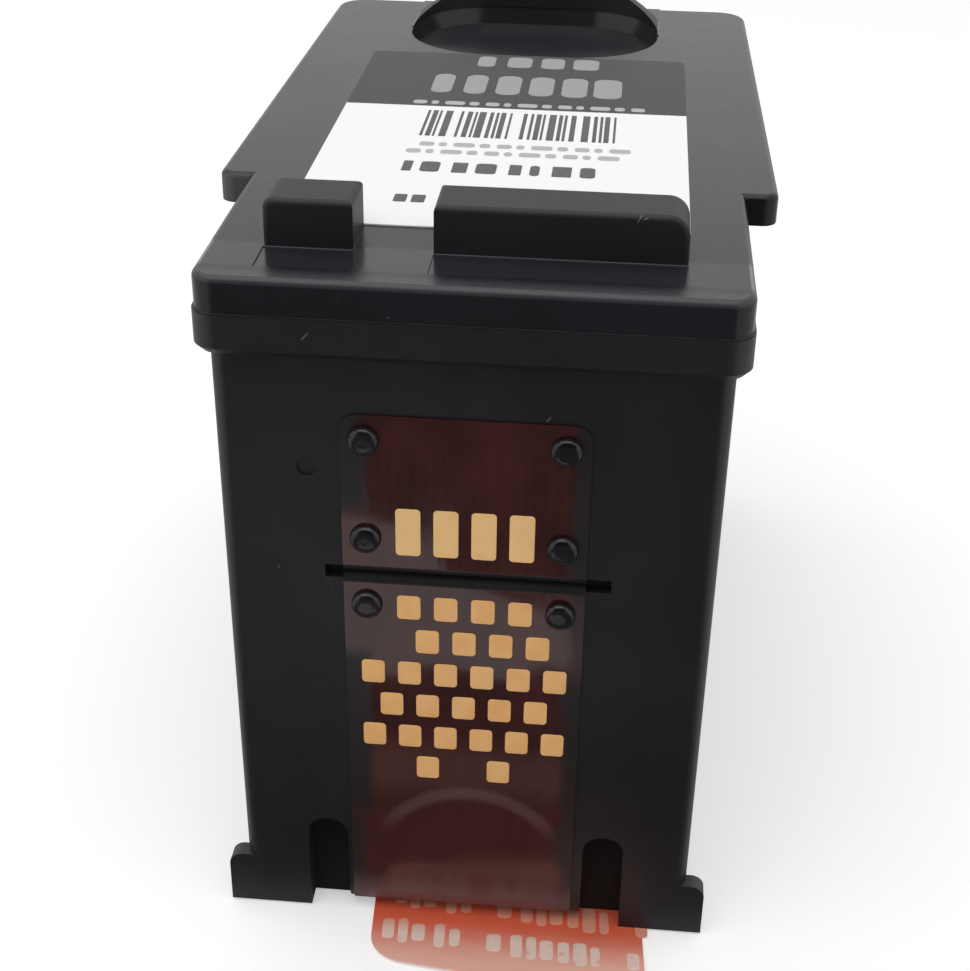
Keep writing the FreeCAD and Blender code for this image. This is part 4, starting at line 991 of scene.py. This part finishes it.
def tape_marks(settings):
    """Pale generic dashes in two slanted rows across the tape, carried onto its roll."""
    shapes = []
    for lift in TAPE_ROWS:
        for middle, wide in row_of(TAPE_ROW_LEFT + lift * 0.2, TAPE_MARKS, TAPE_GAPS, len(TAPE_MARKS)):
            left = middle - wide / 2
            back = TAPE_ROW_START + lift - (left + TAPE_WIDTH / 2) * TAPE_ROW_SLOPE
            tall = TAPE_ROW_HEIGHT * (0.85 + 0.15 * math.sin(9 * left))
            points, faces = ink_mark(middle, back, wide, tall, TAPE_MARK_CORNER, steps=4)
            shapes.append((tape_at(points + (0.0, 0.0, TAPE_THICKNESS), settings), faces))
    return joined(shapes)


def printed(marks):
    """Flat marks of ink on the label, each given as its middle, width, height and corner radius."""
    shapes = [ink_mark(*mark, steps=5) for mark in marks]
    return joined([(points + (0.0, 0.0, LABEL_TOP), faces) for points, faces in shapes])


def marked(row, along, tall, *corners):
    """A row's marks at one distance back and of one height, whose corner radii come round again."""
    return [(middle, along, wide, tall, corners[number % len(corners)])
            for number, (middle, wide) in enumerate(row)]


def dark_marks():
    """Two squares, a row of plain strokes and a block of upright bars on the white field."""
    squares = ((-6.25, 0.9), (-5.0, 0.95))
    strokes = row_of(-7.0, (0.7, 1.4, 1.1, 1.5, 0.9), (0.6, 0.9), 8)
    bars = row_of(-6.7, (0.22, 0.4, 0.18, 0.55, 0.3), (0.2, 0.14, 0.3), 28)
    bars = [bar for number, bar in enumerate(bars) if number % 9 != 4]
    return (marked(squares, 14.1, 1.5, 0.15) + marked(strokes, 20.8, 2.2, 0.1, 0.35)
            + marked(bars, 31.0, 6.4, 0.04))


def haze_marks():
    """Rows of fine dashes beside the bars and behind the white field."""
    marks = []
    for along, start, count in ((24.2, -7.2, 11), (25.9, -6.4, 11), (36.3, -8.2, 13)):
        marks += marked(row_of(start, (1.1, 0.6, 1.6, 0.8), (0.35, 0.5), count), along, 0.95, 0.3)
    return marks


def light_marks():
    """A row of large ovals and a row of small ones on the dark field."""
    large = [(-6.4 + 2.72 * number, wide) for number, wide in enumerate((1.7, 1.8, 2.0, 2.0, 2.1, 2.3))]
    small = [(-3.4 + 2.85 * number, wide) for number, wide in enumerate((1.5, 2.1, 2.0, 2.2))]
    return marked(large, 41.7, 5.4, 0.85) + marked(small, 48.6, 3.2, 0.6)


# Operators: one for each piece or group of pieces, and one for the stage.
class CARTRIDGE_OT_stage(Operator):
    """Set up the camera, the soft light, the surroundings and the pale floor"""

    bl_idname = "cartridge.stage"
    bl_label = "Stage"

    def execute(self, context):
        settings = context.scene.cartridge_stage
        self.aim_camera(context, settings)
        self.light(context, settings)
        self.surround(context, settings)
        self.lay_floor(settings)
        self.set_card_and_flag(settings)
        context.scene.view_settings.view_transform = "Standard"
        return {"FINISHED"}

    def aim_camera(self, context, settings):
        lens = bpy.data.cameras.new("camera")
        lens.lens = settings.lens
        lens.clip_start = 1 * MM
        camera = bpy.data.objects.new("camera", lens)
        context.scene.collection.objects.link(camera)
        camera.matrix_world = (
            Matrix.Translation(settings.place) @ Matrix.Rotation(settings.bearing, 4, "Z")
            @ Matrix.Rotation(math.pi / 2 - settings.dip, 4, "X") @ Matrix.Rotation(settings.roll, 4, "Z"))
        context.scene.camera = camera

    def light(self, context, settings):
        softbox = bpy.data.lights.new("softbox", "AREA")
        softbox.size = settings.softbox_width
        softbox.energy = settings.softbox * math.pi * settings.softbox_width ** 2
        lamp = bpy.data.objects.new("softbox", softbox)
        context.scene.collection.objects.link(lamp)
        lamp.location = (LIGHT_PLACE[0] * MM, LIGHT_PLACE[1] * MM, settings.softbox_height)
        lamp.rotation_euler = (math.radians(LIGHT_LEAN[0]), math.radians(LIGHT_LEAN[1]), 0.0)

    def surround(self, context, settings):
        """White where the camera, gloss or glass sees it, and dimmer as light on matt surfaces."""
        world = bpy.data.worlds.new("surroundings")
        world.use_nodes = True
        context.scene.world = world
        nodes, links = world.node_tree.nodes, world.node_tree.links
        path, dim = nodes.new("ShaderNodeLightPath"), nodes.new("ShaderNodeMapRange")
        seen = path.outputs["Is Camera Ray"]
        for kind in ("Is Glossy Ray", "Is Transmission Ray"):
            either = nodes.new("ShaderNodeMath")
            either.operation = "MAXIMUM"
            links.new(seen, either.inputs[0])
            links.new(path.outputs[kind], either.inputs[1])
            seen = either.outputs[0]
        links.new(seen, dim.inputs["Value"])
        dim.inputs["To Min"].default_value = settings.ambient
        dim.inputs["To Max"].default_value = 1.0
        background = nodes["Background"]
        background.inputs["Color"].default_value = (*WHITE, 1.0)
        links.new(dim.outputs[0], background.inputs["Strength"])

    def lay_floor(self, settings):
        corners = [(x * FLOOR_HALF, y * FLOOR_HALF, 0.0) for x, y in ((-1, -1), (1, -1), (1, 1), (-1, 1))]
        self.stage_sheet("floor", corners, self.floor_material(settings))

    def set_card_and_flag(self, settings):
        """The white card and the black flag, which only reflections show."""
        card = Finish("bounce_card", Emission_Color=(*WHITE, 1.0), Emission_Strength=settings.card,
                      Base_Color=(*BLACK, 1.0), Roughness=1.0)
        corners = [(x, FACE + y, CARD_LIFT) for x, y in BOUNCE_CARD]
        self.hide_from_view(self.stage_sheet("bounce_card", corners, card.material))
        black = Finish("black_flag", Base_Color=(*BLACK, 1.0), Specular_IOR_Level=0.0, Roughness=1.0)
        far = FACE - settings.flag / MM
        ends = ((-FLAG_HALF, 0.0), (-FLAG_HALF, FLAG_HEIGHT), (FLAG_HALF, FLAG_HEIGHT), (FLAG_HALF, 0.0))
        corners = [(x, far, z) for x, z in ends]
        self.hide_from_view(self.stage_sheet("black_flag", corners, black.material))

    def hide_from_view(self, sheet):
        """Leaves a sheet to reflections alone."""
        sheet.visible_camera = False
        sheet.visible_diffuse = False
        sheet.visible_shadow = False

    def stage_sheet(self, name, corners, material):
        """A flat sheet between corners given in millimetres."""
        mesh = bpy.data.meshes.new(name)
        mesh.from_pydata((np.array(corners) * MM).tolist(), [], [list(range(len(corners)))])
        mesh.materials.append(material)
        sheet = bpy.data.objects.new(name, mesh)
        bpy.context.scene.collection.objects.link(sheet)
        return sheet

    def floor_material(self, settings):
        """Pale floor that the camera sees fade to white far away.

        In reflections it is dark in a wedge before the object, as on a studio's unlit side.
        """
        finish = Finish("floor", Roughness=1.0, Specular_IOR_Level=0.0, Emission_Strength=1.0)
        seen = finish.node("ShaderNodeLightPath", output="Is Camera Ray")
        glossy = Level(finish, seen.socket.node.outputs["Is Glossy Ray"])
        x, y, z = finish.split(finish.spot())
        ahead = (0.0 - y).share(WEDGE_START, WEDGE_EDGE)
        beside = abs(x) - (0.0 - y) * WEDGE_SPREAD
        wedge = ahead * (1 - beside.share(WEDGE_HALF - WEDGE_BLUR, WEDGE_HALF + WEDGE_BLUR))
        far = seen * x.hypotenuse(y).share(FADE_START, FADE_END)
        body = finish.blend(glossy * wedge, settings.floor, scaled(settings.floor, settings.floor_dark))
        body = finish.blend(far, body, BLACK)
        glow = finish.layered(BLACK, (seen, scaled(WHITE, settings.floor_glow)), (far, WHITE))
        finish.paint(Base_Color=body, Emission_Color=glow)
        return finish.material


class CARTRIDGE_OT_plastic(Operator):
    """Finish the tank and the lid, and add the weld line between them"""

    bl_idname = "cartridge.plastic"
    bl_label = "Tank and lid"

    def execute(self, context):
        settings = context.scene.cartridge_plastic
        tank = plastic("tank_plastic", settings, settings.tank_roughness, TANK_NICKS, dark=notch_painted_shade)
        dress("tank_body", tank)
        dress("lid", plastic("lid_plastic", settings, settings.lid_roughness, LID_NICKS, lid_polish_and_painted_light,
                             index=LID_INDEX))
        add_piece("weld_seam", seam_shape(SEAM_HEIGHT, SEAM_BEAD), tank)
        stake = plastic("stake_plastic", settings, settings.tank_roughness * 0.4, TANK_NICKS)
        add_piece("heat_stake_heads", stake_shapes(context.scene.cartridge_stakes), stake,
                  sharp=60.0)
        return {"FINISHED"}


class CARTRIDGE_OT_film(Operator):
    """Add the film circuit, folded into the groove and round the nose"""

    bl_idname = "cartridge.film"
    bl_label = "Film circuit"

    def execute(self, context):
        settings = context.scene.cartridge_film
        add_piece("film_circuit", film_shape(settings), film_finish(settings),
                  replaces=("flex_circuit",), sharp=50.0)
        return {"FINISHED"}


class CARTRIDGE_OT_contacts(Operator):
    """Add the gold contacts"""

    bl_idname = "cartridge.contacts"
    bl_label = "Contacts"

    def execute(self, context):
        settings = context.scene.cartridge_contacts
        add_piece("gold_contacts", contact_shapes(settings, context.scene.cartridge_film),
                  gold_finish(settings), replaces=("contact_pads",))
        return {"FINISHED"}


class CARTRIDGE_OT_label(Operator):
    """Finish the label and print its plain marks"""

    bl_idname = "cartridge.label"
    bl_label = "Label"

    def execute(self, context):
        settings = context.scene.cartridge_label
        dress("label", label_finish(settings))
        inks = (("label_dark_marks", dark_marks(), settings.ink),
                ("label_fine_marks", haze_marks(), settings.haze),
                ("label_light_marks", light_marks(), settings.light))
        for name, marks, tint in inks:
            add_piece(name, printed(marks), ink_finish(name, tint))
        return {"FINISHED"}


class CARTRIDGE_OT_tape(Operator):
    """Add the pull tape and its plain marks"""

    bl_idname = "cartridge.tape"
    bl_label = "Pull tape"

    def execute(self, context):
        settings = context.scene.cartridge_tape
        add_piece("pull_tape", tape_shape(settings), tape_finish(settings),
                  replaces=("protective_tape",))
        add_piece("tape_marks", tape_marks(settings), tape_ink_finish(settings))
        return {"FINISHED"}


class CARTRIDGE_OT_inner(Operator):
    """Finish the foam, the filter screen, the print chip and its sealant"""

    bl_idname = "cartridge.inner"
    bl_label = "Inner pieces"

    def execute(self, context):
        settings = context.scene.cartridge_inner
        dress("ink_absorber", foam_finish(settings))
        dress("filter_screen", screen_finish(settings))
        dress("print_chip", chip_finish(settings))
        dress("chip_sealant", resin_finish(settings))
        return {"FINISHED"}


GROUPS = {
    "cartridge_stage": StageSettings,
    "cartridge_plastic": PlasticSettings,
    "cartridge_stakes": StakeSettings,
    "cartridge_film": FilmSettings,
    "cartridge_contacts": ContactSettings,
    "cartridge_label": LabelSettings,
    "cartridge_tape": TapeSettings,
    "cartridge_inner": InnerSettings,
}
OPERATORS = (
    CARTRIDGE_OT_stage,
    CARTRIDGE_OT_plastic,
    CARTRIDGE_OT_film,
    CARTRIDGE_OT_contacts,
    CARTRIDGE_OT_label,
    CARTRIDGE_OT_tape,
    CARTRIDGE_OT_inner,
)


class CARTRIDGE_PT_looks(Panel):
    """The operators and their settings"""

    bl_idname = "CARTRIDGE_PT_looks"
    bl_label = "Ink cartridge"
    bl_space_type = "VIEW_3D"
    bl_region_type = "UI"
    bl_category = "Cartridge"

    def draw(self, context):
        for operator in OPERATORS:
            self.layout.operator(operator.bl_idname)
        for name, group in GROUPS.items():
            box = self.layout.box()
            box.label(text=group.__doc__)
            for prop in group.__annotations__:
                box.prop(getattr(context.scene, name), prop)


def register():
    for group in GROUPS.values():
        bpy.utils.register_class(group)
    for name, group in GROUPS.items():
        setattr(bpy.types.Scene, name, PointerProperty(type=group))
    for operator in OPERATORS:
        bpy.utils.register_class(operator)
    bpy.utils.register_class(CARTRIDGE_PT_looks)


def unregister():
    bpy.utils.unregister_class(CARTRIDGE_PT_looks)
    for operator in reversed(OPERATORS):
        bpy.utils.unregister_class(operator)
    for name in GROUPS:
        delattr(bpy.types.Scene, name)
    for group in reversed(GROUPS.values()):
        bpy.utils.unregister_class(group)


def main():
    register()
    bpy.ops.cartridge.stage()
    bpy.ops.cartridge.plastic()
    bpy.ops.cartridge.film()
    bpy.ops.cartridge.contacts()
    bpy.ops.cartridge.label()
    bpy.ops.cartridge.tape()
    bpy.ops.cartridge.inner()


if __name__ == "__main__":
    main()
